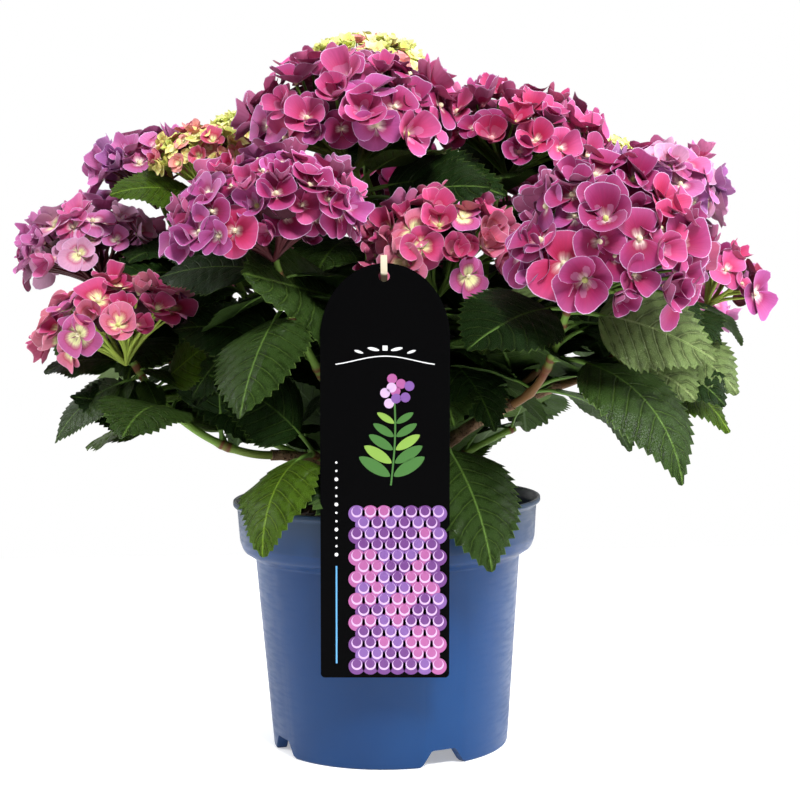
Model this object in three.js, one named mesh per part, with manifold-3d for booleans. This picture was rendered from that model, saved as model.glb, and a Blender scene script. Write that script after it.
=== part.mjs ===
// A hydrangea shrub in its nursery pot, built as separate pieces: pot, compost, the short woody
// trunk, its boughs, a leafy shoot on every bough end, a flower head on every shoot, and the tag
// that hangs in front. Millimetres, +Z up, the plant's front towards -Y, and the origin in the
// middle of the pot's underside. A bearing is in degrees round +Z, 0 at the front and 90 at +X.
import * as THREE from 'three';
import { mergeVertices } from 'three/addons/utils/BufferGeometryUtils.js';
import Module from 'manifold-3d';

const wasm = await Module();
wasm.setup();

const gap = 0.3; // between pieces that touch on the real plant
const clearance = 0.6; // round a flower or leaf before it is let in
const goldenAngle = 137.508;

const pot = {
  height: 185, footRadius: 88, footRing: 8, footHeight: 10, floorTop: 12.8, wall: 2.2,
  shoulderRadius: 99, shoulderHeight: 142, bandRadius: 111, bandFoot: 155, lipRadius: 115, lip: 3.5,
  sides: 44,
};
const notch = { count: 4, bearing: 26, foot: 35, top: 18.6, height: 12 };
const drain = { count: 6, radius: 5, reach: 58 };
const compost = { level: 168, edgeLevel: 163.5, flatRadius: 40 };
const trunk = {
  height: 40, footRadius: 25, waistRadius: 16.5, topRadius: 11, lobes: 6, lobeDepth: 0.16,
  lean: 3, leanBearing: -40, sides: 18,
};
const tag = {
  width: 89, height: 286.5, arch: 51, thickness: 0.8, foot: 73.3, footX: -2.4, corner: 3, askew: 1,
  holeBelowTop: 9, holeX: -0.7, holeRadius: 3.8,
};
const strap = { width: 4.6, thickness: 1, collarRadius: 4.5, collarThickness: 1.8, heldAt: 0.4 };

// Boughs leave the trunk at `rise` degrees, bend down evenly by `bend` and end after `length`.
const boughs = {
  front: { bearing: 4, foot: 206, rise: 74, bend: 12, length: 50 },
  front_right: { bearing: 58, foot: 184, rise: 44, bend: 20, length: 132 },
  right: { bearing: 86, foot: 197, rise: 40, bend: 24, length: 150 },
  right_back: { bearing: 134, foot: 183, rise: 58, bend: 20, length: 116 },
  back: { bearing: 176, foot: 194, rise: 56, bend: 8, length: 80 },
  left_back: { bearing: -144, foot: 183, rise: 58, bend: 22, length: 108 },
  left: { bearing: -102, foot: 197, rise: 48, bend: 26, length: 118 },
  front_left: { bearing: -66, foot: 190, rise: 36, bend: 34, length: 98 },
  front_inner: { bearing: -28, foot: 184, rise: 56, bend: 14, length: 80 },
};
const boughRadius = { foot: 5.4, tip: 3.9 };

// Flower heads: where the head's middle is, its width and depth, which way it leans from upright,
// its age, and the bough that its shoot grows on, at a share `from` of the bough's length.
const heads = {
  front: {
    bough: 'front', from: 0.5, age: 'rose', lean: 20, towards: 10,
    bearing: 37, reach: 69, height: 377, across: 124, tall: 74,
  },
  left_front: {
    bough: 'front_inner', from: 1, age: 'full', lean: 16, towards: -30,
    bearing: -33, reach: 143, height: 404, across: 142, tall: 76,
  },
  right_front: {
    bough: 'front_right', from: 1, age: 'full', lean: 38, towards: 35,
    bearing: 45, reach: 213, height: 379, across: 148, tall: 108,
  },
  top: {
    bough: 'front', from: 1, age: 'full', lean: 14, towards: -20,
    bearing: -36, reach: 37, height: 472, across: 158, tall: 82,
  },
  top_right: {
    bough: 'right', from: 0.36, age: 'full', lean: 22, towards: 60,
    bearing: 113, reach: 114, height: 461, across: 142, tall: 68,
  },
  left_low: {
    bough: 'front_left', from: 1, age: 'rose', lean: 26, towards: -80,
    bearing: -74, reach: 204, height: 326, across: 122, tall: 62,
  },
  left: {
    bough: 'left', from: 1, age: 'mauve', lean: 28, towards: -95,
    bearing: -100, reach: 233, height: 381, across: 120, tall: 64,
  },
  left_upper: {
    bough: 'left_back', from: 0.7, age: 'mauve', lean: 24, towards: -110,
    bearing: -112, reach: 200, height: 441, across: 96, tall: 58,
  },
  left_bud: {
    bough: 'left', from: 0.5, age: 'half', lean: 12, towards: -90,
    bearing: -94, reach: 135, height: 446, across: 80, tall: 42,
  },
  left_green: {
    bough: 'left_back', from: 0.35, age: 'green', lean: 10, towards: -130,
    bearing: -130, reach: 147, height: 464, across: 66, tall: 34,
  },
  top_green: {
    bough: 'back', from: 0.55, age: 'green', lean: 6, towards: 180,
    bearing: -172, reach: 96, height: 514, across: 96, tall: 38,
  },
  right_tip: {
    bough: 'right', from: 1, age: 'full', lean: 62, towards: 92,
    bearing: 89, reach: 255, height: 346, across: 76, tall: 46,
  },
  right_green: {
    bough: 'right_back', from: 0.5, age: 'green', lean: 14, towards: 122,
    bearing: 122, reach: 214, height: 446, across: 50, tall: 30,
  },
  right_upper: {
    bough: 'right', from: 0.58, age: 'mauve', lean: 24, towards: 90,
    bearing: 84, reach: 209, height: 416, across: 104, tall: 66,
  },
  back: {
    bough: 'back', from: 1, age: 'full', lean: 24, towards: 178,
    bearing: 178, reach: 155, height: 424, across: 138, tall: 78,
  },
  right_back: {
    bough: 'right_back', from: 1, age: 'full', lean: 30, towards: 142,
    bearing: 142, reach: 190, height: 396, across: 138, tall: 78,
  },
  left_back: {
    bough: 'left_back', from: 1, age: 'rose', lean: 30, towards: -142,
    bearing: -142, reach: 196, height: 384, across: 136, tall: 76,
  },
  right_low: {
    bough: 'right', from: 0.8, age: 'mauve', lean: 40, towards: 108,
    bearing: 110, reach: 242, height: 338, across: 104, tall: 62,
  },
  left_low_back: {
    bough: 'left', from: 0.62, age: 'full', lean: 38, towards: -122,
    bearing: -122, reach: 240, height: 326, across: 104, tall: 62,
  },
  back_low: {
    bough: 'back', from: 0.75, age: 'mauve', lean: 46, towards: 172,
    bearing: 172, reach: 174, height: 330, across: 112, tall: 66,
  },
};
const sepalReach = { full: 24, rose: 21.5, mauve: 20, half: 11.5, green: 8.5 };
// A flower in shares of its sepals' reach: depth of its stalk, height of its rim, dip of its middle,
// and how far the outermost flowers stand out of the dome: aside, over its depth, and above it.
const bloom = { stalk: 0.72, rim: 0.2, dip: 0.02, aside: 0.22, aloft: 1.17, above: 0.95 };
const bloomLimit = 102; // degrees from the head's pole to its lowest flowers
const bloomCover = 1.9; // how closely flowers cover the dome
const bloomColour = {
  full: '#b23a78', rose: '#c0446f', mauve: '#8d4f95', half: '#d98a86', green: '#d6de86',
};
const fan = { depth: 27, foot: 4.6 }; // the rays under a head, closed to a funnel

// Low shoots with leaves and no flowers, which start on the trunk and lean over the rim.
const lowShoots = {
  low_front_left: { bearing: -35, reach: 92, height: 226 },
  low_front_right: { bearing: 27, reach: 78, height: 244 },
  low_right: { bearing: 108, reach: 104, height: 232 },
  low_left: { bearing: -108, reach: 104, height: 228 },
  low_back: { bearing: 180, reach: 104, height: 226 },
};
const lowShootFoot = 175;
const stem = { foot: 3.1, tip: 2.3, sides: 4, steps: 5, handle: 0.34, archUp: 10 };

// Leaves grow in pairs, each pair turned a quarter round from the last.
const leaf = {
  lengths: [78, 104, 118, 118, 110], firstBelowHead: 24, firstBelowTip: 4, spacing: 42, lowest: 0.12,
  quarterTurn: 90, stalk: 0.2, stalkWidth: 0.018, widest: 0.48, shoulder: 0.77,
  rise: 16, droop: 74, halfWidth: 0.33, shoulderWidth: 0.235, thickness: 1.4, sag: 0.15,
};
// The leaves that show in front: share of the shoot, bearing, rise, droop, length and roll.
const chosenLeaves = {
  front: [[0.9, 120, 10, 60, 70, 0], [0.78, 52, 14, 44, 138, -20], [0.72, -80, 10, 60, 80, -20],
    [0.45, 20, 20, 80, 100, 0], [0.4, 165, 20, 60, 90, 0]],
  left_front: [[0.93, -110, 16, 60, 84, -20], [0.9, 60, 0, 50, 70, 0], [0.74, 36, -14, 62, 104, 6],
    [0.7, -120, 10, 70, 96, 0], [0.4, -60, 20, 84, 108, 0], [0.36, 120, 20, 60, 80, 0]],
  top: [[0.94, 70, 10, 60, 84, 0], [0.9, -118, 12, 50, 80, -20], [0.5, -48, 16, 24, 128, -54],
    [0.62, 120, 20, 60, 96, 0], [0.3, -130, 30, 70, 90, 0], [0.24, 60, 20, 70, 90, 0]],
  right_front: [[0.92, -38, 6, 58, 104, -10], [0.9, 66, 12, 34, 108, 44], [0.8, 150, 10, 60, 80, 0],
    [0.5, 56, 4, 92, 122, 6], [0.42, -20, 10, 70, 100, 0], [0.16, 110, 10, 80, 100, 0]],
  right_tip: [[0.93, 108, -20, 50, 66, 0], [0.9, 20, -10, 60, 70, 0], [0.52, 62, 10, 96, 118, 10],
    [0.48, 150, 10, 80, 100, 0], [0.16, 48, 8, 70, 104, 30]],
  left_low: [[0.97, -88, 8, 76, 72, 0], [0.95, 60, 10, 60, 40, 0], [0.7, -86, 4, 70, 100, -20],
    [0.68, 58, 44, 30, 96, 40], [0.3, -20, 66, 30, 104, 0], [0.26, -150, 10, 60, 90, 0]],
  left_bud: [[0.95, -92, 16, 36, 80, -30], [0.93, 80, 10, 60, 60, 0], [0.76, -20, 10, 60, 90, 0],
    [0.72, 170, 10, 60, 90, 0], [0.5, -100, 10, 70, 112, 0], [0.3, -40, 20, 70, 100, 0]],
  low_front_left: [[0.97, -4, 22, 112, 100, 0], [0.94, -84, 16, 80, 104, 0], [0.5, 60, 30, 60, 60, 0]],
  low_front_right: [[0.97, 30, 12, 104, 116, 0], [0.9, -30, 20, 80, 70, 0], [0.6, 80, 20, 80, 96, 0]],
};
const crown = { left: -287, right: 288, front: -220, back: 222, floor: 152, top: 532 };

// ---------------------------------------------------------------- directions and paths

const degrees = THREE.MathUtils.degToRad;
const up = new THREE.Vector3(0, 0, 1);

function outward(bearing) {
  return new THREE.Vector3(Math.sin(degrees(bearing)), -Math.cos(degrees(bearing)), 0);
}

function place({ bearing, reach, height }) {
  return outward(bearing).multiplyScalar(reach).setZ(height);
}

// The same fraction between 0 and 1 for the same number, every time.
function chance(number) {
  const value = Math.sin(number * 12.9898) * 43758.5453;
  return value - Math.floor(value);
}

// A line in an upright plane that leaves its root at an angle and bends down evenly.
class Arch extends THREE.Curve {
  constructor(root, bearing, rise, bend, length) {
    super();
    Object.assign(this, { root, bearing, rise: degrees(rise), bend: degrees(bend || 0.01), length });
  }

  getPoint(share, target = new THREE.Vector3()) {
    const angle = this.rise - this.bend * share;
    const along = (Math.sin(this.rise) - Math.sin(angle)) / this.bend;
    const rising = (Math.cos(angle) - Math.cos(this.rise)) / this.bend;
    return target.copy(outward(this.bearing)).multiplyScalar(along * this.length)
      .addScaledVector(up, rising * this.length).add(this.root);
  }

  direction(share) {
    const angle = this.rise - this.bend * share;
    return outward(this.bearing).multiplyScalar(Math.cos(angle)).addScaledVector(up, Math.sin(angle));
  }
}

// ---------------------------------------------------------------- closed shapes

// Rings of points, each counter-clockwise about the way they follow, closed by a point at each end.
function loft(rings, start, end) {
  const sides = rings[0].length;
  const points = [start, ...rings.flat(), end];
  const at = (ring, side) => 1 + ring * sides + (side % sides);
  const faces = [];
  for (let side = 0; side < sides; side += 1) {
    faces.push(0, at(0, side + 1), at(0, side));
    for (let ring = 0; ring + 1 < rings.length; ring += 1) {
      faces.push(at(ring, side), at(ring, side + 1), at(ring + 1, side + 1));
      faces.push(at(ring, side), at(ring + 1, side + 1), at(ring + 1, side));
    }
    faces.push(points.length - 1, at(rings.length - 1, side), at(rings.length - 1, side + 1));
  }
  const geometry = new THREE.BufferGeometry().setFromPoints(points);
  geometry.setIndex(faces);
  return geometry;
}

function ringOf(centre, across, over, radii) {
  return radii.map((radius, side) => {
    const angle = (2 * Math.PI * side) / radii.length;
    return centre.clone().addScaledVector(across, radius * Math.cos(angle))
      .addScaledVector(over, radius * Math.sin(angle));
  });
}

// A round limb that tapers evenly along a path.
function limb(path, foot, tip, sides, steps) {
  const frames = path.computeFrenetFrames(steps, false);
  const rings = frames.tangents.map((_, step) => ringOf(
    path.getPointAt(step / steps), frames.normals[step], frames.binormals[step],
    Array(sides).fill(foot + ((tip - foot) * step) / steps),
  ));
  return loft(rings, path.getPointAt(0), path.getPointAt(1));
}

function solidOf(geometry) {
  const bare = geometry.clone();
  bare.deleteAttribute('normal');
  bare.deleteAttribute('uv');
  const merged = mergeVertices(bare, 1e-4);
  return new wasm.Manifold(new wasm.Mesh({
    numProp: 3,
    vertProperties: new Float32Array(merged.attributes.position.array),
    triVerts: new Uint32Array(merged.index.array),
  }));
}

// Loose scraps and sealed hollows that joining leaves behind are dropped: the largest body stays.
function wholeOf(solid) {
  return solid.decompose().reduce((best, body) => (body.volume() > best.volume() ? body : best));
}

function geometryOf(solid) {
  const { vertProperties, triVerts } = wholeOf(solid).getMesh();
  const geometry = new THREE.BufferGeometry();
  geometry.setAttribute('position', new THREE.BufferAttribute(vertProperties, 3));
  geometry.setIndex(new THREE.BufferAttribute(triVerts, 1));
  geometry.computeVertexNormals();
  return geometry;
}

// ---------------------------------------------------------------- what is in the way

const taken = [];

function take(owner, solid) {
  taken.push({ owner, solid, box: solid.boundingBox() });
  return solid;
}

function boxesMeet(a, b) {
  return [0, 1, 2].every((axis) => a.min[axis] <= b.max[axis] && a.max[axis] >= b.min[axis]);
}

function isClear(solid, owner) {
  const box = solid.boundingBox();
  return taken.every((other) => other.owner === owner || !boxesMeet(box, other.box)
    || other.solid.intersect(solid).volume() < 1e-6);
}

// ---------------------------------------------------------------- the scene

const shrub = new THREE.Group();

function addPiece(name, solid, color, roughness) {
  const finish = new THREE.MeshStandardMaterial({ color, roughness, metalness: 0 });
  const mesh = new THREE.Mesh(geometryOf(solid), finish);
  mesh.name = name;
  shrub.add(mesh);
}

// ---------------------------------------------------------------- pot and compost

function latheUpright(profile, sides) {
  const points = profile.map(([radius, height]) => new THREE.Vector2(radius, height));
  return new THREE.LatheGeometry(points, sides).rotateX(Math.PI / 2);
}

function makePot() {
  const { height, footRadius, footRing, footHeight, floorTop, wall, shoulderRadius } = pot;
  const { shoulderHeight, bandRadius, bandFoot, lipRadius, lip } = pot;
  let shell = solidOf(latheUpright([
    [0, footHeight], [footRadius - footRing, footHeight], [footRadius - footRing, 0],
    [footRadius, 0], [shoulderRadius, shoulderHeight],
    [bandRadius - 3, bandFoot - 7], [bandRadius - 0.6, bandFoot],
    [bandRadius + 1, height - lip - 2], [lipRadius, height - lip], [lipRadius, height],
    [lipRadius - wall, height], [bandRadius + 1 - wall, height - lip - 3],
    [bandRadius - 0.6 - wall, bandFoot], [shoulderRadius - wall, shoulderHeight + 2],
    [footRadius + 0.9 - wall, floorTop], [0, floorTop],
  ], pot.sides));

  const outline = new THREE.Shape([
    new THREE.Vector2(-notch.foot / 2, -1), new THREE.Vector2(notch.foot / 2, -1),
    new THREE.Vector2(notch.top / 2, notch.height), new THREE.Vector2(-notch.top / 2, notch.height),
  ]);
  for (let turn = 0; turn < notch.count; turn += 1) {
    const cut = new THREE.ExtrudeGeometry(outline, { depth: 2 * footRing + 4, bevelEnabled: false })
      .rotateX(Math.PI / 2).translate(0, -(footRadius - footRing - 4), 0)
      .rotateZ(degrees(notch.bearing + (360 * turn) / notch.count));
    shell = shell.subtract(solidOf(cut));
  }
  for (let turn = 0; turn < drain.count; turn += 1) {
    const hole = new THREE.CylinderGeometry(drain.radius, drain.radius, 3 * footHeight, 8)
      .rotateX(Math.PI / 2)
      .translate(...outward((360 * turn) / drain.count).multiplyScalar(drain.reach).toArray());
    shell = shell.subtract(solidOf(hole));
  }
  return shell;
}

function makeCompost() {
  const inside = pot.wall + gap;
  return solidOf(latheUpright([
    [0, pot.floorTop + gap], [pot.footRadius + 0.6 - inside, pot.floorTop + gap],
    [pot.shoulderRadius - inside, pot.shoulderHeight + 2.5],
    [pot.bandRadius - 1 - inside, pot.bandFoot + 1], [pot.bandRadius - 1 - inside, compost.edgeLevel],
    [compost.flatRadius, compost.level], [0, compost.level],
  ], 24));
}

// ---------------------------------------------------------------- trunk and boughs

// The foot spreads in lobes where the boughs' bases run into the ground; `extra` swells it.
function makeTrunk(extra) {
  const { height, footRadius, waistRadius, topRadius, lobes, lobeDepth, sides } = trunk;
  const levels = [[0, footRadius, 1], [0.14, 0.5 * (footRadius + waistRadius), 0.8],
    [0.35, waistRadius, 0.5], [0.75, 0.5 * (waistRadius + topRadius), 0.2], [1, topRadius, 0.1]];
  const across = new THREE.Vector3(1, 0, 0);
  const over = new THREE.Vector3(0, 1, 0);
  const foot = compost.level + gap - extra;
  const leanReach = height * Math.tan(degrees(trunk.lean));
  const axisAt = (share) => outward(trunk.leanBearing).multiplyScalar(share * leanReach)
    .setZ(foot + share * (height + 2 * extra));
  const rings = levels.map(([share, radius, depth]) => ringOf(axisAt(share), across, over,
    Array.from({ length: sides }, (_, side) => extra
      + radius * (1 + lobeDepth * depth * Math.cos((lobes * 2 * Math.PI * side) / sides)))));
  return solidOf(loft(rings, axisAt(0), axisAt(1).addScaledVector(up, 0.25 * topRadius)));
}

function boughPath({ bearing, foot, rise, bend, length }) {
  return new Arch(new THREE.Vector3(0, 0, foot), bearing, rise, bend, length);
}

function boughSolid(name, extra) {
  const path = boughPath(boughs[name]);
  return solidOf(limb(path, boughRadius.foot + extra, boughRadius.tip + extra, 6, 4));
}

// ---------------------------------------------------------------- flower heads

function headFrame(head) {
  const sepal = sepalReach[head.age];
  const axis = outward(head.towards).multiplyScalar(Math.sin(degrees(head.lean)))
    .addScaledVector(up, Math.cos(degrees(head.lean)));
  const radius = head.across / 2 - bloom.aside * sepal;
  const rise = head.tall - bloom.aloft * sepal;
  const belt = place(head).addScaledVector(axis, bloom.above * sepal - head.tall / 2);
  const turn = new THREE.Quaternion().setFromUnitVectors(up, axis);
  return { sepal, axis, radius, rise, belt, turn };
}

// The inner dome of closely set stalks, drawn down to the top of the stem.
function headCore(head) {
  const { radius, rise, belt, turn } = headFrame(head);
  return solidOf(latheUpright([
    [0, -fan.depth], [fan.foot, -fan.depth], [0.74 * radius, -0.1 * radius],
    [0.8 * radius, 0.2 * rise], [0.54 * radius, 0.7 * rise], [0, 0.88 * rise],
  ], 7).applyQuaternion(turn).translate(...belt.toArray()));
}

// One flower: a shallow dish of six sides, or five while young, on a stalk sunk in the dome.
function flower({ centre, normal, reach, spin }, sides, extra) {
  const across = new THREE.Vector3(Math.cos(spin), Math.sin(spin), 0);
  const side = new THREE.Vector3().crossVectors(normal, across).normalize();
  across.crossVectors(side, normal).normalize();
  const along = (distance) => centre.clone().addScaledVector(normal, distance);
  const ring = ringOf(along(bloom.rim * reach), across, side, Array(sides).fill(reach + extra));
  return solidOf(loft([ring], along(-bloom.stalk * reach - extra), along(-bloom.dip * reach + extra)));
}

// Flowers are dealt over the dome by the golden angle, from its pole to just under its belt.
function flowersOf(head, seed) {
  const { sepal, radius, rise, belt, turn } = headFrame(head);
  const count = Math.round((bloomCover * radius * (rise + 0.5 * sepal)) / sepal ** 2);
  const lowest = Math.cos(degrees(bloomLimit));
  return Array.from({ length: count }, (_, index) => {
    const height = 1 - ((1 - lowest) * (index + 0.5)) / count;
    const ringRadius = Math.sqrt(1 - height * height);
    const angle = degrees(goldenAngle) * index + seed;
    const flat = new THREE.Vector3(Math.cos(angle) * ringRadius, Math.sin(angle) * ringRadius, height);
    const centre = flat.clone().multiply(new THREE.Vector3(radius, radius, rise));
    const normal = flat.divide(new THREE.Vector3(radius, radius, rise)).normalize();
    return {
      centre: centre.applyQuaternion(turn).add(belt),
      normal: normal.applyQuaternion(turn),
      reach: sepal * (0.92 + 0.16 * chance(seed + 3.1 * index)),
      spin: 2 * Math.PI * chance(seed + 7.7 * index),
    };
  });
}

// ---------------------------------------------------------------- shoots and leaves

function shootPath(head) {
  const bough = boughPath(boughs[head.bough]);
  const { axis, belt } = headFrame(head);
  const foot = bough.getPoint(head.from);
  const tip = belt.clone().addScaledVector(axis, -fan.depth - gap);
  const span = foot.distanceTo(tip);
  const leave = bough.direction(head.from);
  if (head.from < 1) leave.add(tip.clone().sub(foot).normalize()).normalize();
  return new THREE.CubicBezierCurve3(foot, foot.clone().addScaledVector(leave, stem.handle * span),
    tip.clone().addScaledVector(axis, -stem.handle * span), tip);
}

function lowShootPath(shoot) {
  const tip = place(shoot);
  const foot = new THREE.Vector3(0, 0, lowShootFoot);
  const middle = foot.clone().lerp(tip, 0.5).addScaledVector(up, stem.archUp);
  return new THREE.QuadraticBezierCurve3(foot, middle, tip);
}

// A leaf on an arch: root, end of the stalk, widest part, shoulder and tip.
function leafSolid({ root, bearing, rise, droop, length, roll }, extra) {
  const path = new Arch(root, bearing, rise, droop, length);
  const side = outward(bearing + 90);
  const rows = [
    [leaf.stalk, leaf.stalkWidth], [leaf.widest, leaf.halfWidth], [leaf.shoulder, leaf.shoulderWidth],
  ];
  const rings = rows.map(([share, width]) => {
    const along = path.direction(share);
    const over = new THREE.Vector3().crossVectors(along, side).applyAxisAngle(along, degrees(roll));
    const across = side.clone().applyAxisAngle(along, degrees(roll));
    const ridge = path.getPoint(share).addScaledVector(over, extra);
    const half = width * length + extra;
    const below = leaf.thickness + leaf.sag * width * length + 2 * extra;
    const edge = ridge.clone().addScaledVector(over, -below);
    return [edge.clone().addScaledVector(across, half), ridge, edge.addScaledVector(across, -half)];
  });
  return solidOf(loft(rings, path.getPoint(0), path.getPoint(1 + extra / length)));
}

function leavesOf(name, path, seed, firstBelow) {
  if (chosenLeaves[name]) {
    return chosenLeaves[name].map(([share, bearing, rise, droop, length, roll]) => (
      { root: path.getPointAt(share), bearing, rise, droop, length, roll }));
  }
  const length = path.getLength();
  const leaves = [];
  for (let pair = 0; pair < leaf.lengths.length; pair += 1) {
    const share = 1 - (firstBelow + pair * leaf.spacing) / length;
    if (share < leaf.lowest) break;
    for (const half of [0, 180]) {
      const pick = seed + 11 * pair + half / 30;
      leaves.push({
        root: path.getPointAt(share),
        bearing: 360 * chance(seed) + leaf.quarterTurn * pair + half + 24 * (chance(pick) - 0.5),
        rise: leaf.rise + 26 * (chance(pick + 1) - 0.5),
        droop: leaf.droop + 40 * (chance(pick + 2) - 0.5),
        length: leaf.lengths[pair] * (0.9 + 0.2 * chance(pick + 3)),
        roll: 30 * (chance(pick + 4) - 0.5),
      });
    }
  }
  return leaves;
}

// A leaf that would leave the crown's space or touch another piece is turned aside or lowered.
const turns = [0, 15, -15, 30, -30, 48, -48];
const lifts = [0, 18, -18, 34];

function fitLeaf(wanted, owner) {
  for (const turn of turns) {
    for (const lift of lifts) {
      const tried = { ...wanted, bearing: wanted.bearing + turn, rise: wanted.rise + lift };
      const body = leafSolid(tried, clearance);
      const { min, max } = body.boundingBox();
      const inside = min[0] > crown.left && max[0] < crown.right && min[1] > crown.front
        && max[1] < crown.back && min[2] > crown.floor && max[2] < crown.top;
      if (inside && isClear(body, owner)) return leafSolid(tried, 0);
    }
  }
  return null;
}

// ---------------------------------------------------------------- tag and strap

function makeTag() {
  const { width, height, arch, thickness, corner, holeBelowTop, holeX, holeRadius } = tag;
  const half = width / 2;
  const card = new THREE.Shape();
  card.moveTo(half, height - arch);
  card.absellipse(0, height - arch, half, arch, 0, Math.PI, false, 0);
  card.lineTo(-half, corner);
  card.absarc(-half + corner, corner, corner, Math.PI, 1.5 * Math.PI, false);
  card.absarc(half - corner, corner, corner, 1.5 * Math.PI, 2 * Math.PI, false);
  const hole = new THREE.Path();
  hole.absarc(holeX, height - holeBelowTop, holeRadius, 0, 2 * Math.PI, true);
  card.holes.push(hole);
  const front = -(pot.lipRadius + gap);
  return new THREE.ExtrudeGeometry(card, { depth: thickness, bevelEnabled: false, curveSegments: 8 })
    .rotateX(Math.PI / 2).rotateY(degrees(tag.askew)).translate(tag.footX, front, tag.foot);
}

// A flat band through the tag's hole, over its top edge and back to a collar round a stem.
function makeStrap(stemPath) {
  const face = -(pot.lipRadius + gap + tag.thickness);
  const holeUp = tag.height - tag.holeBelowTop;
  const hole = tag.foot + holeUp * Math.cos(degrees(tag.askew));
  const middleX = tag.footX + tag.holeX + holeUp * Math.sin(degrees(tag.askew));
  const held = stemPath.getPointAt(strap.heldAt);
  const back = held.y - strap.collarRadius;
  const route = new THREE.CatmullRomCurve3([
    [face - 1.2, hole + 2.2], [face - 1.4, hole + 8], [face + 1.8, hole + 14], [face + 14, hole + 8],
    [back, held.z + 3], [back, held.z - 3], [face + 14, hole - 4], [face + 3, hole + 2.1],
  ].map(([y, z]) => new THREE.Vector3(y, z, 0)), true, 'centripetal');
  const steps = 26;
  const edge = (offset) => Array.from({ length: steps }, (_, step) => {
    const point = route.getPointAt(step / steps);
    const along = route.getTangentAt(step / steps);
    return new THREE.Vector2(point.x - offset * along.y, point.y + offset * along.x);
  });
  const outline = new THREE.Shape(edge(strap.thickness / 2));
  outline.holes.push(new THREE.Path(edge(-strap.thickness / 2).reverse()));
  const band = new THREE.ExtrudeGeometry(outline, { depth: strap.width, bevelEnabled: false })
    .rotateX(Math.PI / 2).rotateZ(Math.PI / 2).translate(middleX - strap.width / 2, 0, 0);
  const turn = new THREE.Quaternion().setFromUnitVectors(up, stemPath.getTangentAt(strap.heldAt));
  const collar = new THREE.TorusGeometry(strap.collarRadius, strap.collarThickness / 2, 6, 10)
    .applyQuaternion(turn).translate(...held.toArray());
  return solidOf(band).add(solidOf(collar));
}

addPiece('pot', take('pot', makePot()), '#2f64a0', 0.45);
addPiece('compost', take('compost', makeCompost()), '#2a2019', 0.95);
const swollenTrunk = makeTrunk(gap);
addPiece('trunk', take('trunk', makeTrunk(0)), '#7a5a40', 0.85);
for (const name of Object.keys(boughs)) {
  const owner = `bough_${name}`;
  addPiece(owner, take(owner, boughSolid(name, 0).subtract(swollenTrunk)), '#8a6a4c', 0.8);
}
const stems = {};
for (const [name, head] of Object.entries(heads)) {
  stems[name] = solidOf(limb(shootPath(head), stem.foot, stem.tip, stem.sides, stem.steps))
    .subtract(boughSolid(head.bough, gap));
  take(`shoot_${name}`, stems[name]);
}
for (const [name, shoot] of Object.entries(lowShoots)) {
  stems[name] = solidOf(limb(lowShootPath(shoot), stem.foot, stem.tip, stem.sides, stem.steps))
    .subtract(swollenTrunk);
  take(`shoot_${name}`, stems[name]);
}
addPiece('tag', take('tag', solidOf(makeTag())), '#0a0a0b', 0.5);
addPiece('tag_strap', take('tag_strap', makeStrap(shootPath(heads.top))), '#e6dcc8', 0.6);

const cores = {};
for (const [name, head] of Object.entries(heads)) {
  cores[name] = take(`head_${name}`, headCore(head));
}
Object.entries(heads).forEach(([name, head], index) => {
  const owner = `head_${name}`;
  const sides = ['half', 'green'].includes(head.age) ? 5 : 6;
  let whole = cores[name];
  for (const place of flowersOf(head, index + 1)) {
    if (!isClear(flower(place, sides, clearance), owner)) continue;
    whole = whole.add(take(owner, flower(place, sides, 0)));
  }
  addPiece(owner, whole, bloomColour[head.age], 0.6);
});

const allShoots = [
  ...Object.entries(lowShoots).map(([name, shoot]) => [name, lowShootPath(shoot), leaf.firstBelowTip]),
  ...Object.entries(heads).map(([name, head]) => [name, shootPath(head), leaf.firstBelowHead]),
];
allShoots.forEach(([name, path, firstBelow], index) => {
  const owner = `shoot_${name}`;
  let whole = stems[name];
  for (const wanted of leavesOf(name, path, index + 1, firstBelow)) {
    const blade = fitLeaf(wanted, owner);
    if (blade) whole = whole.add(take(owner, blade));
  }
  addPiece(owner, whole, '#2e4f2b', 0.5);
});

export default shrub;
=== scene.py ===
# A hydrangea shrub in its nursery pot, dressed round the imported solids. Metres, +Z up, front towards -Y.
import math

import bpy
import numpy as np
from mathutils import Matrix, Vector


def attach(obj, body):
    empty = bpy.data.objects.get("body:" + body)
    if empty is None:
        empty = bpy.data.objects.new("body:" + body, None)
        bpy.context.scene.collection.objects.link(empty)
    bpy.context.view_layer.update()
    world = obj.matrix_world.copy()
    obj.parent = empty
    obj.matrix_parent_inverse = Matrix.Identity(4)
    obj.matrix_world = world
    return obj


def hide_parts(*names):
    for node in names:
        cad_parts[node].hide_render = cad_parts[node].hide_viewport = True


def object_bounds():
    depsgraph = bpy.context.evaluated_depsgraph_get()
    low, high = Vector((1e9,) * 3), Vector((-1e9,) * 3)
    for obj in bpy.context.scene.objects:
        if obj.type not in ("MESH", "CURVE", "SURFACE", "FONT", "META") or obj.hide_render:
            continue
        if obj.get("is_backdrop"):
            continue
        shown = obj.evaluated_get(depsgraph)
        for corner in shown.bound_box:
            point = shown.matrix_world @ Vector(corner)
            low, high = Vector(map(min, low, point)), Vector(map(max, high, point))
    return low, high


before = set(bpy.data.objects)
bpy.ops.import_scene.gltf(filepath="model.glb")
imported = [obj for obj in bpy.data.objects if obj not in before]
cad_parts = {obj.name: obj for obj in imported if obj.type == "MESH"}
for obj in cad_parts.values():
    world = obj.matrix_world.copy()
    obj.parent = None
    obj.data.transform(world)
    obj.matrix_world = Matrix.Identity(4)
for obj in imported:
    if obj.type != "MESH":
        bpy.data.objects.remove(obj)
cadLow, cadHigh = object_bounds()
print("frame loaded:", len(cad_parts), "solids")

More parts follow.
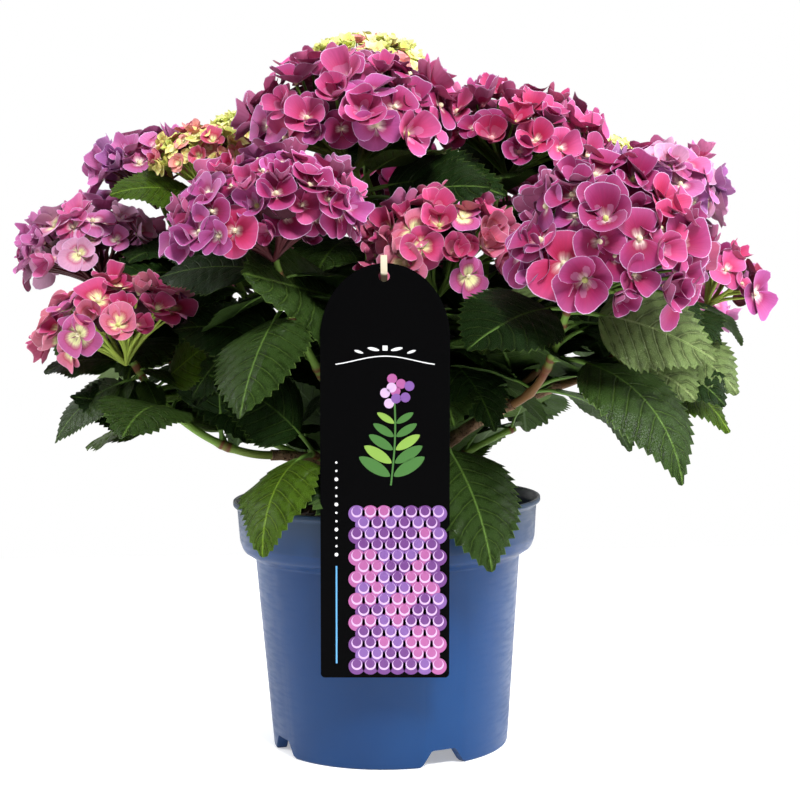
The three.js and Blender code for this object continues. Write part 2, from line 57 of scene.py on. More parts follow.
up = np.array([0.0, 0.0, 1.0])
anyWay = np.array([0.42, -0.37, 0.83])  # a direction that no flower faces exactly, to cross with
bakeMap = "OFBake"       # the one UV map of every patterned piece
tiles = 4                # a UV map is cut in tiles by tiles squares, one for each tint of a piece
inset = 0.98             # the share of a square that is used, so that tints don't run together


# ---- shapes as arrays

def unit(vectors):  # vectors made one long
    return vectors / np.maximum(np.linalg.norm(vectors, axis=-1, keepdims=True), 1e-12)


def outward(bearing):  # (sin, -cos, 0) of the bearing in degrees, 0 at the front and 90 at +X
    angle = np.radians(np.asarray(bearing, float))
    return np.stack([np.sin(angle), -np.cos(angle), 0 * angle], -1)


def chance(number):  # the same fraction between 0 and 1 for the same number, every time
    value = np.sin(np.asarray(number, float) * 12.9898) * 43758.5453
    return value - np.floor(value)


def lumps(points, scale, seed):  # a sum of sines in many directions: an even, repeatable roughness from -1 to 1
    turns = unit(chance(seed + np.arange(24)).reshape(8, 3) - 0.5)
    phases = 2 * np.pi * chance(seed + 50 + np.arange(8))
    pitches = scale * (0.6 + 0.8 * chance(seed + 70 + np.arange(8)))
    return np.sin(points @ (turns * pitches[:, None]).T + phases).mean(-1) * 1.8


def turned(vectors, axis, angle):  # vectors turned about unit axes: v cos + (a x v) sin + a (a.v)(1 - cos)
    cosine, sine = np.cos(angle)[..., None], np.sin(angle)[..., None]
    along = np.sum(vectors * axis, -1, keepdims=True)
    return vectors * cosine + np.cross(axis, vectors) * sine + axis * along * (1 - cosine)


def smooth(low, high, value):  # 0 below low, 1 above high, an S between
    share = np.clip((value - low) / (high - low), 0, 1)
    return share * share * (3 - 2 * share)


def archPoint(arch, share):  # root + length * (outward (sin rise - sin angle) + up (cos angle - cos rise)) / bend
    rise, bend = np.radians(arch["rise"]), np.radians(np.where(arch["bend"] == 0, 0.01, arch["bend"]))
    angle = rise - bend * share
    along = (np.sin(rise) - np.sin(angle)) / bend * arch["length"]
    rising = (np.cos(angle) - np.cos(rise)) / bend * arch["length"]
    return arch["root"] + outward(arch["bearing"]) * along[..., None] + up * rising[..., None]


def archWay(arch, share):  # outward cos angle + up sin angle, where angle = rise - bend * share
    angle = np.radians(arch["rise"]) - np.radians(arch["bend"]) * share
    return outward(arch["bearing"]) * np.cos(angle)[..., None] + up * np.sin(angle)[..., None]


def bezier(knots, share):  # a Bezier curve of two, three or four knots by repeated division in proportion
    share = np.asarray(share, float)[..., None]
    while len(knots) > 1:
        knots = [a + (b - a) * share for a, b in zip(knots[:-1], knots[1:])]
    return knots[0]


def travelled(knots, steps=200):  # length along the curve at even steps of its parameter
    line = bezier(knots, np.linspace(0, 1, steps + 1))
    return np.concatenate([[0], np.cumsum(np.linalg.norm(np.diff(line, axis=0), axis=1))])


def lengthOf(knots):
    return travelled(knots)[-1]


def evenly(knots, shares):  # points at shares of the curve's own length
    reached = travelled(knots)
    return bezier(knots, np.interp(np.asarray(shares) * reached[-1], reached, np.linspace(0, 1, len(reached))))


def circle(sides):  # angles round a circle
    return np.linspace(0, 2 * np.pi, sides, endpoint=False)


def tubes(centres, radii, sides):
    # Rings of `sides` points round each centre, in planes square to the way the centres follow.
    # centres is (tubes, rows, 3), radii (tubes, rows); returns (tubes, rows, sides, 3).
    way = unit(np.gradient(centres, axis=1))
    aside = unit(np.cross(way, np.array([0.31, 0.17, 0.93])))[:, :, None]
    over = np.cross(way[:, :, None], aside)
    angle = circle(sides)[:, None]
    return centres[:, :, None] + (aside * np.cos(angle) + over * np.sin(angle)) * radii[:, :, None, None]


def gridFaces(rows, columns, closed=False):  # quads of one grid of points, wrapped round when closed
    row, column = np.meshgrid(np.arange(rows - 1), np.arange(columns if closed else columns - 1), indexing="ij")
    row, after = row * columns, (column + 1) % columns
    return np.stack([row + column, row + after, row + columns + after, row + columns + column], -1).reshape(-1, 4)


def many(faces, count, points):  # one shape's faces, repeated for `count` copies of `points` points each
    return (faces[None] + np.arange(count)[:, None, None] * points).reshape(-1, faces.shape[1])


def closedTube(grid, poles=None):  # points and faces of (rows, sides) rings whose two ends close in fans
    rows, sides = grid.shape[:2]
    if poles is None:
        poles = np.stack([grid[0].mean(0), grid[-1].mean(0)])
    around = np.arange(sides)
    after = (around + 1) % sides
    foot = np.stack([np.full(sides, rows * sides), after, around], -1)
    tip = np.stack([np.full(sides, rows * sides + 1), (rows - 1) * sides + around, (rows - 1) * sides + after], -1)
    return np.concatenate([grid.reshape(-1, 3), poles]), [gridFaces(rows, sides, True), np.concatenate([foot, tip])]


def addPiece(name, points, faces, materials, slots=None, maps=None, creaseAngle=50):
    # points (n, 3); faces a list of index arrays; slots one array of material numbers for each of
    # them; maps one array of UV corners (faces, corners, 2) for each. Shaded smooth up to creaseAngle.
    mesh = bpy.data.meshes.new(name)
    corners = np.concatenate([part.ravel() for part in faces])
    sizes = np.concatenate([np.full(len(part), part.shape[1]) for part in faces])
    mesh.vertices.add(len(points))
    mesh.vertices.foreach_set("co", np.asarray(points, np.float32).ravel())
    mesh.loops.add(len(corners))
    mesh.loops.foreach_set("vertex_index", corners.astype(np.int32))
    mesh.polygons.add(len(sizes))
    mesh.polygons.foreach_set("loop_start", np.concatenate([[0], np.cumsum(sizes)[:-1]]).astype(np.int32))
    if slots is not None:
        mesh.polygons.foreach_set("material_index", np.concatenate(slots).astype(np.int32))
    mesh.update(calc_edges=True)
    if maps is not None:
        layer = mesh.uv_layers.new(name=bakeMap, do_init=False)
        layer.uv.foreach_set("vector", np.concatenate([part.ravel() for part in maps]).astype(np.float32))
    for material in materials:
        mesh.materials.append(material)
    mesh.validate()
    mesh.shade_smooth()
    mesh.set_sharp_from_angle(angle=math.radians(creaseAngle))
    piece = bpy.data.objects.new(name, mesh)
    bpy.context.scene.collection.objects.link(piece)
    return piece


def addBodies(name, grids, materials, pick=None, maps=None):
    # Many alike tubes or balls as one piece: grids (count, rows, sides, 3) of rings, closed by flat ends.
    # pick is the number of each one's material, maps the UV corners of the walls and of the ends.
    count, rows, sides = grids.shape[:3]
    walls, last = gridFaces(rows, sides, True), (rows - 1) * sides
    ends = np.stack([np.arange(sides)[::-1], np.arange(sides) + last])
    slots = None if pick is None else [np.repeat(pick, len(walls)), np.repeat(pick, len(ends))]
    faces = [many(part, count, rows * sides) for part in (walls, ends)]
    return addPiece(name, grids.reshape(-1, 3), faces, materials, slots, maps, creaseAngle=80)


def settle(piece, slot, nodes):  # tells the frame what the piece rides on and stands for; the slot is not used
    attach(piece, "root")
    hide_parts(*nodes)
    print(piece.name, len(piece.data.polygons), "faces")


# ---- material building

def put(tree, kind, inputs=None, output=0, **settings):  # adds one node, set and linked, and gives one output
    node = tree.nodes.new(kind)
    for key, value in settings.items():
        setattr(node, key, value)
    for key, value in (inputs or {}).items():
        if isinstance(value, bpy.types.NodeSocket):
            tree.links.new(value, node.inputs[key])
        else:
            node.inputs[key].default_value = value
    return node.outputs[output]


class Shade:
    # A small kit for one material's nodes. Colours are given as three numbers, values by their socket's name.
    def __init__(self, name, colour=None, **values):
        self.material = bpy.data.materials.new(name)
        self.material.use_nodes = True
        self.tree = self.material.node_tree
        self.surface = self.tree.nodes["Principled BSDF"]
        if colour is not None:
            values["base_color"] = (*colour, 1.0)
        for socket, value in values.items():
            self.surface.inputs[socket.replace("_", " ").title().replace("Ior", "IOR")].default_value = value

    def put(self, kind, inputs=None, output=0, **settings):
        return put(self.tree, kind, inputs, output, **settings)

    def sum(self, operation, *values):
        return self.put("ShaderNodeMath", dict(enumerate(values)), operation=operation)

    def product(self, *values):
        return self.sum("MULTIPLY", *values)

    def between(self, value, low, high, toLow=0.0, toHigh=1.0):  # value from low..high eased to toLow..toHigh
        inputs = {"Value": value, "From Min": low, "From Max": high, "To Min": toLow, "To Max": toHigh}
        return self.put("ShaderNodeMapRange", inputs, interpolation_type="SMOOTHSTEP")

    def ramp(self, value, stops):  # stops are (place, colour); straight between them
        node = self.tree.nodes.new("ShaderNodeValToRGB")
        while len(node.color_ramp.elements) < len(stops):
            node.color_ramp.elements.new(1.0)
        for element, (place, colour) in zip(node.color_ramp.elements, stops):
            element.position = place
            element.color = (*colour, 1.0)
        self.tree.links.new(value, node.inputs["Fac"])
        return node.outputs["Color"]

    def mix(self, share, first, second):
        first, second = ((*value, 1.0) if isinstance(value, (tuple, np.ndarray)) else value
                         for value in (first, second))
        return self.put("ShaderNodeMix", {0: share, 6: first, 7: second}, output=2, data_type="RGBA")

    def parts(self, vector):  # a vector's x, y and z
        node = self.put("ShaderNodeSeparateXYZ", {0: vector}).node
        return list(node.outputs)

    def vector(self, *values):
        return self.put("ShaderNodeCombineXYZ", dict(enumerate(values)))

    def tile(self, column, row):  # across and along, 0 to 1, in one tile of the piece's UV map
        flat = self.put("ShaderNodeUVMap", uv_map=bakeMap)
        wanted = {"Vector": flat, "Location": (-column, -row, 0), "Scale": (tiles, tiles, 1)}
        return self.parts(self.put("ShaderNodeMapping", wanted))[:2]

    def place(self):  # the point on the piece, in metres
        return self.put("ShaderNodeTexCoord", output=3)

    def noise(self, vector, scale, detail=2.0):
        return self.put("ShaderNodeTexNoise", {"Vector": vector, "Scale": scale, "Detail": detail})

    def colour(self, socket):
        self.tree.links.new(socket, self.surface.inputs["Base Color"])

    def rough(self, socket):
        self.tree.links.new(socket, self.surface.inputs["Roughness"])

    def relief(self, height, distance, strength=1.0):
        made = self.put("ShaderNodeBump", {"Height": height, "Distance": distance, "Strength": strength})
        self.tree.links.new(made, self.surface.inputs["Normal"])


# ---- camera, light and floor

view = dict(place=(0.0112, -1.3807, 0.3595), pitch=0.0738, roll=0.0167, lens=83.25, sensor=36.0)
cameraData = bpy.data.cameras.new("camera")
cameraData.lens = view["lens"]
cameraData.sensor_width = view["sensor"]
camera = bpy.data.objects.new("camera", cameraData)
camera.matrix_world = (Matrix.Translation(view["place"]) @ Matrix.Rotation(math.pi / 2 - view["pitch"], 4, "X")
                       @ Matrix.Rotation(-view["roll"], 4, "Z"))
bpy.context.scene.collection.objects.link(camera)
bpy.context.scene.camera = camera

studio = dict(
    # How the sky's strength is eased along an axis: from low to high of the direction, between two strengths.
    easings={"y": (-0.85, 0.1, 0.30, 0.95), "z": (-0.15, 0.25, 0.30, 1.0)},
    lamps=dict(key=((0.55, -1.4, 1.8), 0.5, 50.0), left=((-1.5, 0.25, 0.9), 0.9, 20.0),
               right=((1.5, -0.2, 1.0), 0.9, 30.0)),  # place, size and watts
    aim=(0.0, 0.0, 0.3), floorSize=1.8, floorColour=(0.85, 0.85, 0.85), floorGlow=0.36,
)


def makeSky():
    # White where it is seen. As a light it is dimmer in front and under the floor: its strength is the
    # product of one easing along y and one along z.
    world = bpy.data.worlds.new("studio")
    world.use_nodes = True
    tree = world.node_tree
    sky = tree.nodes["Background"]
    sky.inputs["Color"].default_value = (1.0, 1.0, 1.0, 1.0)
    way = put(tree, "ShaderNodeTexCoord")
    eased = []
    for axis, (low, high, start, end) in studio["easings"].items():
        value = put(tree, "ShaderNodeSeparateXYZ", {0: way}, output="xyz".index(axis))
        eased.append(put(tree, "ShaderNodeMapRange", {
            "Value": value, "From Min": low, "From Max": high, "To Min": start, "To Max": end}))
    light = put(tree, "ShaderNodeMath", dict(enumerate(eased)), operation="MULTIPLY")
    seen = put(tree, "ShaderNodeLightPath", output="Is Camera Ray")
    tree.links.new(put(tree, "ShaderNodeMix", {0: seen, 2: light, 3: 1.0}), sky.inputs["Strength"])
    bpy.context.scene.world = world


def makeLamps():  # round soft lamps that look at the middle of the crown
    for name, (place, size, watts) in studio["lamps"].items():
        lamp = bpy.data.lights.new(name, "AREA")
        lamp.shape, lamp.size, lamp.energy = "DISK", size, watts
        holder = bpy.data.objects.new(name, lamp)
        back = unit(np.array(place) - studio["aim"])
        right = unit(np.cross(up, back))
        turn = Matrix(np.column_stack([right, np.cross(back, right), back]).tolist()).to_4x4()
        holder.matrix_world = Matrix.Translation(place) @ turn
        bpy.context.scene.collection.objects.link(holder)


makeSky()
makeLamps()
bpy.context.scene.view_settings.view_transform = "Standard"
floorShade = Shade("floor", studio["floorColour"], roughness=0.9, emission_color=(1.0, 1.0, 1.0, 1.0),
                   emission_strength=studio["floorGlow"])
floorCorners = np.array([[-1, -1, 0], [1, -1, 0], [1, 1, 0], [-1, 1, 0]]) * studio["floorSize"] / 2
floor = addPiece("floor", floorCorners, [np.array([[0, 1, 2, 3]])], [floorShade.material])
floor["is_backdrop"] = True


# ---- pot

pot = dict(
    height=0.185, footRadius=0.088, footRing=0.008, footHeight=0.010, floorTop=0.0128, wall=0.0022,
    shoulderRadius=0.099, shoulderHeight=0.142, bandRadius=0.111, bandFoot=0.155, lipRadius=0.115, lip=0.0035,
    notches=4, notchBearing=26, notchFoot=0.035, notchTop=0.0186, notchHeight=0.012, sides=256,
    blue=(0.001, 0.030, 0.116), paler=(0.002, 0.038, 0.138), dusty=(0.020, 0.042, 0.084),
    # painted shade: the near black of the inner wall under the lip, for the shade inside the pot
    stain=(0.004, 0.004, 0.004),
)


def fillet(corner, before, after, radius, steps=4):
    # Points of a rounded corner: a quadratic curve from `radius` before the corner to `radius` after it.
    start = corner + unit(before - corner) * radius
    end = corner + unit(after - corner) * radius
    return bezier([start, corner, end], np.linspace(0, 1, steps + 1))


def potOutline():  # (radius, height) from the middle of the underside out, up and back down to the inner floor
    p = pot
    ring, top, wall = p["footRadius"] - p["footRing"], p["height"], p["wall"]
    band, flare = p["bandRadius"] - 0.0006, p["bandRadius"] + 0.001
    corners = np.array([  # radius, height and the corner's rounding
        (0.0, p["footHeight"], 0), (ring, p["footHeight"], 0.001), (ring, 0.0, 0.001), (p["footRadius"], 0.0, 0.0018),
        (p["shoulderRadius"], p["shoulderHeight"], 0.0015), (p["bandRadius"] - 0.003, p["bandFoot"] - 0.007, 0.0025),
        (band, p["bandFoot"], 0.002), (flare, top - p["lip"] - 0.002, 0.0008),
        (p["lipRadius"], top - p["lip"], 0.0008), (p["lipRadius"], top, 0.0009), (p["lipRadius"] - wall, top, 0.0009),
        (flare - wall, top - p["lip"] - 0.003, 0.001), (band - wall, p["bandFoot"], 0.001),
        (p["shoulderRadius"] - wall, p["shoulderHeight"] + 0.002, 0.001),
        (p["footRadius"] + 0.0009 - wall, p["floorTop"], 0.003), (0.0, p["floorTop"], 0)])
    places = corners[:, :2]
    rounded = [fillet(here, before, after, radius)
               for before, here, after, radius in zip(places, places[1:], places[2:], corners[1:-1, 2])]
    return np.concatenate(rounded)


def makePot():
    p = pot
    line = potOutline()
    angle = circle(p["sides"])
    radius, height = line[:, 0, None], line[:, 1, None] + 0 * angle
    # The foot rises over each notch: straight sides lean in from the notch's foot to its flat top.
    step = 2 * np.pi / p["notches"]
    nearest = (angle - np.radians(p["notchBearing"]) + np.pi / 2 + step / 2) % step - step / 2
    aside = np.abs(np.sin(nearest)) * p["footRadius"]
    slope = (p["notchFoot"] - p["notchTop"]) / 2 / p["notchHeight"]
    lifted = np.clip((p["notchFoot"] / 2 - aside) / slope, 0, p["notchHeight"])
    inRing = (radius > p["footRadius"] - p["footRing"] - 0.002) & (height < p["notchHeight"])
    outer = np.arange(len(height))[:, None] < len(height) // 2
    height = np.where(inRing & outer, np.maximum(height, lifted), height)
    ring = np.stack([radius * np.cos(angle), radius * np.sin(angle), height], -1)
    points, faces = closedTube(ring, np.array([[0, 0, p["footHeight"]], [0, 0, p["floorTop"]]]))
    return addPiece("potShell", points, faces, [potShade()], creaseAngle=40)


def potShade():  # satin blue plastic, cloudy by noise, dustier up the band, and blackened inside under the lip as painted shade
    shade = Shade("potBlue", roughness=0.4, specular_ior_level=0.22)
    place = shade.place()
    height = shade.parts(place)[2]
    cloud = shade.noise(place, 9.0, 3.0)
    plain = shade.mix(shade.between(cloud, 0.35, 0.75), pot["blue"], pot["paler"])
    above = shade.sum("GREATER_THAN", height, pot["bandFoot"])
    dust = shade.product(shade.between(height, pot["bandFoot"], pot["height"], 0.35, 1.0), above)
    plain = shade.mix(dust, plain, pot["dusty"])
    flat = shade.put("ShaderNodeVectorMath", {0: place, 1: (1, 1, 0)}, operation="MULTIPLY")
    reach = shade.put("ShaderNodeVectorMath", {0: flat}, output=1, operation="LENGTH")
    # Inside the wall under the lip the colour is painted shade, near black with a little mottling
    inner = shade.sum("LESS_THAN", reach, pot["bandRadius"] - 0.0006 - pot["wall"] / 2)
    stained = shade.product(shade.product(inner, above), shade.between(cloud, 0.2, 0.5, 0.75, 1.0))
    shade.colour(shade.mix(stained, plain, pot["stain"]))
    scuff = shade.noise(shade.put("ShaderNodeMapping", {"Vector": place, "Scale": (1, 1, 6)}), 60.0, 4.0)
    shade.rough(shade.between(scuff, 0.3, 0.8, 0.34, 0.48))
    shade.relief(shade.noise(place, 400.0), 0.0002, 0.15)
    return shade.material


settle(makePot(), "pot_plastic", ["pot"])


# ---- compost and bark chips

compost = dict(level=0.168, edgeLevel=0.1635, flatRadius=0.040, edgeRadius=0.1078, foot=0.150, footShrink=0.985,
               rings=56, sides=180, lump=0.0035, dark=(0.010, 0.007, 0.005), brown=(0.05, 0.028, 0.015))
chips = dict(
    count=420, length=(0.006, 0.019), width=0.5, thick=0.28, reach=0.1074,
    heap=26, heapBearing=-152, heapSpread=40, heapReach=0.100,  # a few stand higher at the wall, back left
    tints=dict(chipDark=(0.018, 0.010, 0.006), chipBrown=(0.055, 0.030, 0.017), chipPale=(0.13, 0.078, 0.042)),
    shares=(62, 30, 8))


def dealt(weights, pick):  # a number for each chance, in proportion to the weights
    bounds = np.cumsum(weights) / np.sum(weights)
    return np.minimum(np.searchsorted(bounds, pick), len(weights) - 1)


def compostHeight(radius):  # flat in the middle, then an even fall to the edge
    return np.interp(radius, [compost["flatRadius"], compost["edgeRadius"]], [compost["level"], compost["edgeLevel"]])


def makeCompost():  # height by radius, roughened by lumps of three sizes that fade at the edge, with a skirt
    c = compost
    radius = np.linspace(c["edgeRadius"], 0.001, c["rings"])[:, None]
    angle = circle(c["sides"])
    flat = np.stack([radius * np.cos(angle), radius * np.sin(angle), compostHeight(radius) + 0 * angle], -1)
    rough = lumps(flat, 520, 3) + 0.6 * lumps(flat, 1400, 9) + 0.4 * lumps(flat, 2900, 17)
    flat[..., 2] += c["lump"] * rough * smooth(c["edgeRadius"], c["edgeRadius"] - 0.004, radius) - 0.0008
    skirt = flat[0] * np.array([c["footShrink"], c["footShrink"], 0]) + up * c["foot"]
    points, faces = closedTube(np.concatenate([skirt[None], flat]))
    shade = Shade("compost", roughness=0.95, specular_ior_level=0.2)
    place = shade.place()
    shade.colour(shade.mix(shade.between(shade.noise(place, 320.0, 3.0), 0.5, 0.7), c["dark"], c["brown"]))
    shade.relief(shade.noise(place, 700.0, 4.0), 0.002)
    return addPiece("compostFill", points, faces, [shade.material], creaseAngle=80)


def makeChips():  # splinters of bark: boxes of uneven corners, tumbled, half sunk and kept inside the wall
    c = chips
    number = np.arange(c["count"])
    heap = number < c["heap"]
    reach = compost["edgeRadius"] * 0.97 * np.sqrt(0.04 + 0.96 * chance(number * 1.7 + 5))
    reach = np.where(heap, c["heapReach"] + 0.006 * chance(number * 2.1), reach)
    heaped = c["heapBearing"] + c["heapSpread"] * chance(number * 3.3)
    bearing = np.where(heap, heaped, 360 * chance(number * 2.9 + 2))
    middle = outward(bearing) * reach[:, None]
    middle[:, 2] = compostHeight(reach) + np.where(heap, 0.004 + 0.014 * chance(number * 4.9), 0.0022)
    low, high = c["length"]
    length = low + (high - low) * chance(number * 5.1) ** 2
    size = np.stack([length, length * c["width"] * (0.5 + chance(number * 6.3)),
                     length * c["thick"] * (0.5 + chance(number * 7.9))], -1) / 2
    corner = np.array([[x, y, z] for z in (-1, 1) for y in (-1, 1) for x in (-1, 1)], float)
    uneven = 0.65 + 0.5 * chance(number[:, None] * 11.3 + np.arange(24) * 3.7).reshape(-1, 8, 3)
    boxes = corner * size[:, None] * uneven
    tumble = unit(chance(number[:, None] * 13.1 + np.arange(3)) - 0.5)[:, None]
    tumbled = 1.3 * chance(number * 9.7) * np.where(heap, 2, 1)
    for axis, angle in ((up, 2 * np.pi * chance(number * 8.8)), (tumble, tumbled)):
        boxes = turned(boxes, np.broadcast_to(axis, boxes.shape), angle[:, None] + np.zeros(8))
    points = (boxes + middle[:, None]).reshape(-1, 3)
    points[:, :2] *= np.minimum(1, c["reach"] / np.linalg.norm(points[:, :2], axis=1))[:, None]
    sides = np.array([[0, 2, 3, 1], [4, 5, 7, 6], [0, 1, 5, 4], [2, 6, 7, 3], [0, 4, 6, 2], [1, 3, 7, 5]])
    shades = [Shade(tint, colour, roughness=0.9).material for tint, colour in c["tints"].items()]
    pick = np.repeat(dealt(c["shares"], chance(number * 15.1)), len(sides))
    return addPiece("barkChips", points, [many(sides, len(number), 8)], shades, [pick], creaseAngle=20)


settle(makeCompost(), "compost", ["compost"])
settle(makeChips(), "compost", ["compost"])


# ---- trunk and boughs

trunk = dict(height=0.040, lobes=6, lobeDepth=0.16, lean=3, leanBearing=-40, sides=96, rows=60,
             shares=(0, 0.14, 0.35, 0.75, 1), radii=(0.025, 0.02075, 0.0165, 0.01375, 0.011),
             lobing=(1, 0.8, 0.5, 0.2, 0.1))  # radius and depth of the lobes at shares of the height
boughs = {
    "front": dict(bearing=4, foot=0.206, rise=74, bend=12, length=0.050),
    "front_right": dict(bearing=58, foot=0.184, rise=44, bend=20, length=0.132),
    "right": dict(bearing=86, foot=0.197, rise=40, bend=24, length=0.150),
    "right_back": dict(bearing=134, foot=0.183, rise=58, bend=20, length=0.116),
    "back": dict(bearing=176, foot=0.194, rise=56, bend=8, length=0.080),
    "left_back": dict(bearing=-144, foot=0.183, rise=58, bend=22, length=0.108),
    "left": dict(bearing=-102, foot=0.197, rise=48, bend=26, length=0.118),
    "front_left": dict(bearing=-66, foot=0.190, rise=36, bend=34, length=0.098),
    "front_inner": dict(bearing=-28, foot=0.184, rise=56, bend=14, length=0.080),
}
bark = dict(foot=0.0054, tip=0.0039, groove=0.0005, lump=0.0009, nodeEvery=0.030, nodeSwell=0.16, sides=28, rows=70,
            brown=(0.135, 0.075, 0.040), pale=(0.27, 0.17, 0.10), dark=(0.045, 0.024, 0.014))


def boughArch(name):
    return dict(boughs[name], root=up * boughs[name]["foot"])


def barkShade():  # brown, clouded paler by coarse noise and cracked dark by fine noise
    shade = Shade("bark", roughness=0.85, specular_ior_level=0.25)
    place = shade.place()
    fine = shade.noise(place, 700.0, 3.0)
    colour = shade.mix(shade.between(shade.noise(place, 90.0, 4.0), 0.35, 0.65), bark["brown"], bark["pale"])
    shade.colour(shade.mix(shade.between(fine, 0.52, 0.68), colour, bark["dark"]))
    shade.relief(fine, 0.0012)
    return shade.material


barkFinish = barkShade()


def makeStump():  # radius by height, times lobes that fade upwards, less cracks that run up and down
    t = trunk
    share = np.linspace(0, 1, t["rows"])[:, None]
    angle = circle(t["sides"])
    lobing = t["lobeDepth"] * np.interp(share, t["shares"], t["lobing"]) * np.cos(t["lobes"] * angle)
    radius = np.interp(share, t["shares"], t["radii"]) * (1 + lobing) * np.where(share > 0.97, 0.93, 1)
    crack = np.abs(np.sin(11 * angle + 3 * np.sin(5 * share) + 2 * chance(4))) ** 0.5
    radius = radius + bark["lump"] * (crack - 0.8)
    height = share * t["height"] + 0 * angle
    ring = np.stack([radius * np.cos(angle), radius * np.sin(angle), compost["level"] + height], -1)
    lean = outward(t["leanBearing"]) * math.tan(math.radians(t["lean"]))
    points, faces = closedTube(ring + height[..., None] * lean)
    points[-1, 2] += 0.25 * t["radii"][-1]
    return addPiece("stump", points, faces, [barkFinish], creaseAngle=75)


def makeBoughs():  # an even taper with a swollen node now and then, and cracks along the limb
    b = bark
    share = np.linspace(0, 1, b["rows"])
    parts, faces, start = [], [], 0
    for number, name in enumerate(boughs):
        arch = boughArch(name)
        centre = archPoint(arch, share)
        spaced = (share * arch["length"] / b["nodeEvery"] + chance(number)) % 1 - 0.5
        radius = (b["foot"] + (b["tip"] - b["foot"]) * share) * (1 + b["nodeSwell"] * np.exp(-(spaced / 0.09) ** 2))
        wander = np.stack([lumps(centre, 60, number + 30 + axis) for axis in range(3)], -1)
        centre = centre + 0.0012 * wander * np.sin(np.pi * share)[:, None]
        grid = tubes(centre[None], radius[None] * 0.94, b["sides"])[0]
        crack = np.abs(np.sin(5 * circle(b["sides"]) + 9 * share[:, None] + number)) ** 0.5
        relief = b["groove"] * (crack - 0.6) + 0.0003 * lumps(grid, 900, 40 + number)
        points, made = closedTube(grid + unit(grid - centre[:, None]) * relief[..., None])
        parts.append(points)
        faces += [part + start for part in made]
        start += len(points)
    return addPiece("boughBark", np.concatenate(parts), faces, [barkFinish], creaseAngle=75)


settle(makeStump(), "bark", ["trunk"])
settle(makeBoughs(), "bark", ["bough_" + name for name in boughs])


# ---- flower heads

tag = dict(width=0.089, height=0.2865, arch=0.051, thickness=0.0008, foot=0.0733, footX=-0.0024, corner=0.003,
           askew=1, holeBelowTop=0.009, holeX=-0.0007, holeRadius=0.0038, proud=0.00012, clear=0.0018, slope=1.2,
           black=(0.0008, 0.0008, 0.001), edge=(0.035, 0.012, 0.012))
gap = 0.0003
tagFront = -(pot["lipRadius"] + gap + tag["thickness"])


def behindTag(points):  # pressed back so that y >= card's front + clear - slope * distance beside or over the card
    aside = np.maximum(np.abs(points[..., 0] - tag["footX"]) - tag["width"] / 2, 0)
    over = np.maximum(points[..., 2] - tag["foot"] - tag["height"], 0)
    nearest = tagFront + tag["clear"] - tag["slope"] * np.hypot(aside, over)
    return np.stack([points[..., 0], np.maximum(points[..., 1], nearest), points[..., 2]], -1)


def head(bough, start, age, lean, towards, bearing, reach, height, across, tall, petal, cupped, tints, ray,
         wider=1.0, taller=1.0):
    # petal is the reach of its sepals, cupped how far most flowers are closed, tints the share of each of its
    # piece's petal colours, ray its stalks' colour, wider and taller how far its flowers pass the solid head
    return dict(locals())


heads = {
    "front": head("front", 0.5, "rose", 20, 10, 37, .069, .377, .124, .074, .0175, .6, (5, 2, 2, 1), "green"),
    "left_front": head("front_inner", 1, "full", 16, -30, -33, .143, .404, .142, .076, .0155, .56,
                       (3, 2, 1, 4), "red"),
    "right_front": head("front_right", 1, "full", 38, 35, 45, .213, .379, .148, .108, .0200, .42,
                        (8, 1, 1, 2), "green"),
    "top": head("front", 1, "full", 14, -20, -36, .037, .472, .158, .082, .0190, .38,
                (2, 6, 0, 1), "green", 1.08, 1.14),
    "top_right": head("right", 0.36, "full", 22, 60, 113, .114, .461, .142, .068, .0175, .5,
                      (2, 4, 4, 0), "green", 1.12),
    "left_low": head("front_left", 1, "rose", 26, -80, -74, .204, .326, .122, .062, .0160, .56, (2, 2, 3, 4), "lime"),
    "left": head("left", 1, "mauve", 28, -95, -100, .233, .381, .120, .064, .0155, .56, (4, 0, 3, 3), "red"),
    "left_upper": head("left_back", 0.7, "mauve", 24, -110, -112, .200, .441, .096, .058, .0165, .5,
                       (4, 3, 2, 1), "red"),
    "left_bud": head("left", 0.5, "half", 12, -90, -94, .135, .446, .080, .042, .0095, .2, (1, 1, 1, 1), "lime"),
    "left_green": head("left_back", 0.35, "green", 10, -130, -130, .147, .464, .066, .034, .0065, .2,
                       (3, 2, 0, 0), "lime"),
    "top_green": head("back", 0.55, "green", 6, 180, -172, .096, .514, .096, .038, .0080, .2,
                      (3, 3, 1, 0), "lime", 1.2, 1.35),
    "right_tip": head("right", 1, "full", 62, 92, 89, .255, .346, .076, .046, .0165, .45,
                      (1, 4, 2, 3), "lime", 1.22, 1.22),
    "right_green": head("right_back", 0.5, "green", 14, 122, 122, .214, .446, .050, .030, .0060, .2,
                        (3, 2, 0, 0), "lime"),
    "right_upper": head("right", 0.58, "mauve", 24, 90, 84, .209, .416, .104, .066, .0160, .5, (5, 1, 2, 6), "green"),
    "back": head("back", 1, "full", 24, 178, 178, .155, .424, .138, .078, .0190, .4, (4, 2, 2, 1), "green"),
    "right_back": head("right_back", 1, "full", 30, 142, 142, .190, .396, .138, .078, .0190, .4,
                       (3, 4, 1, 1), "green"),
    "left_back": head("left_back", 1, "rose", 30, -142, -142, .196, .384, .136, .076, .0180, .5,
                      (4, 2, 2, 1), "green"),
    "right_low": head("right", 0.8, "mauve", 40, 108, 110, .242, .338, .104, .062, .0165, .5, (3, 3, 2, 1), "red"),
    "left_low_back": head("left", 0.62, "full", 38, -122, -122, .240, .326, .104, .062, .0170, .5,
                          (2, 2, 2, 3), "lime"),
    "back_low": head("back", 0.75, "mauve", 46, 172, 172, .174, .330, .112, .066, .0170, .5, (4, 2, 2, 1), "green"),
}
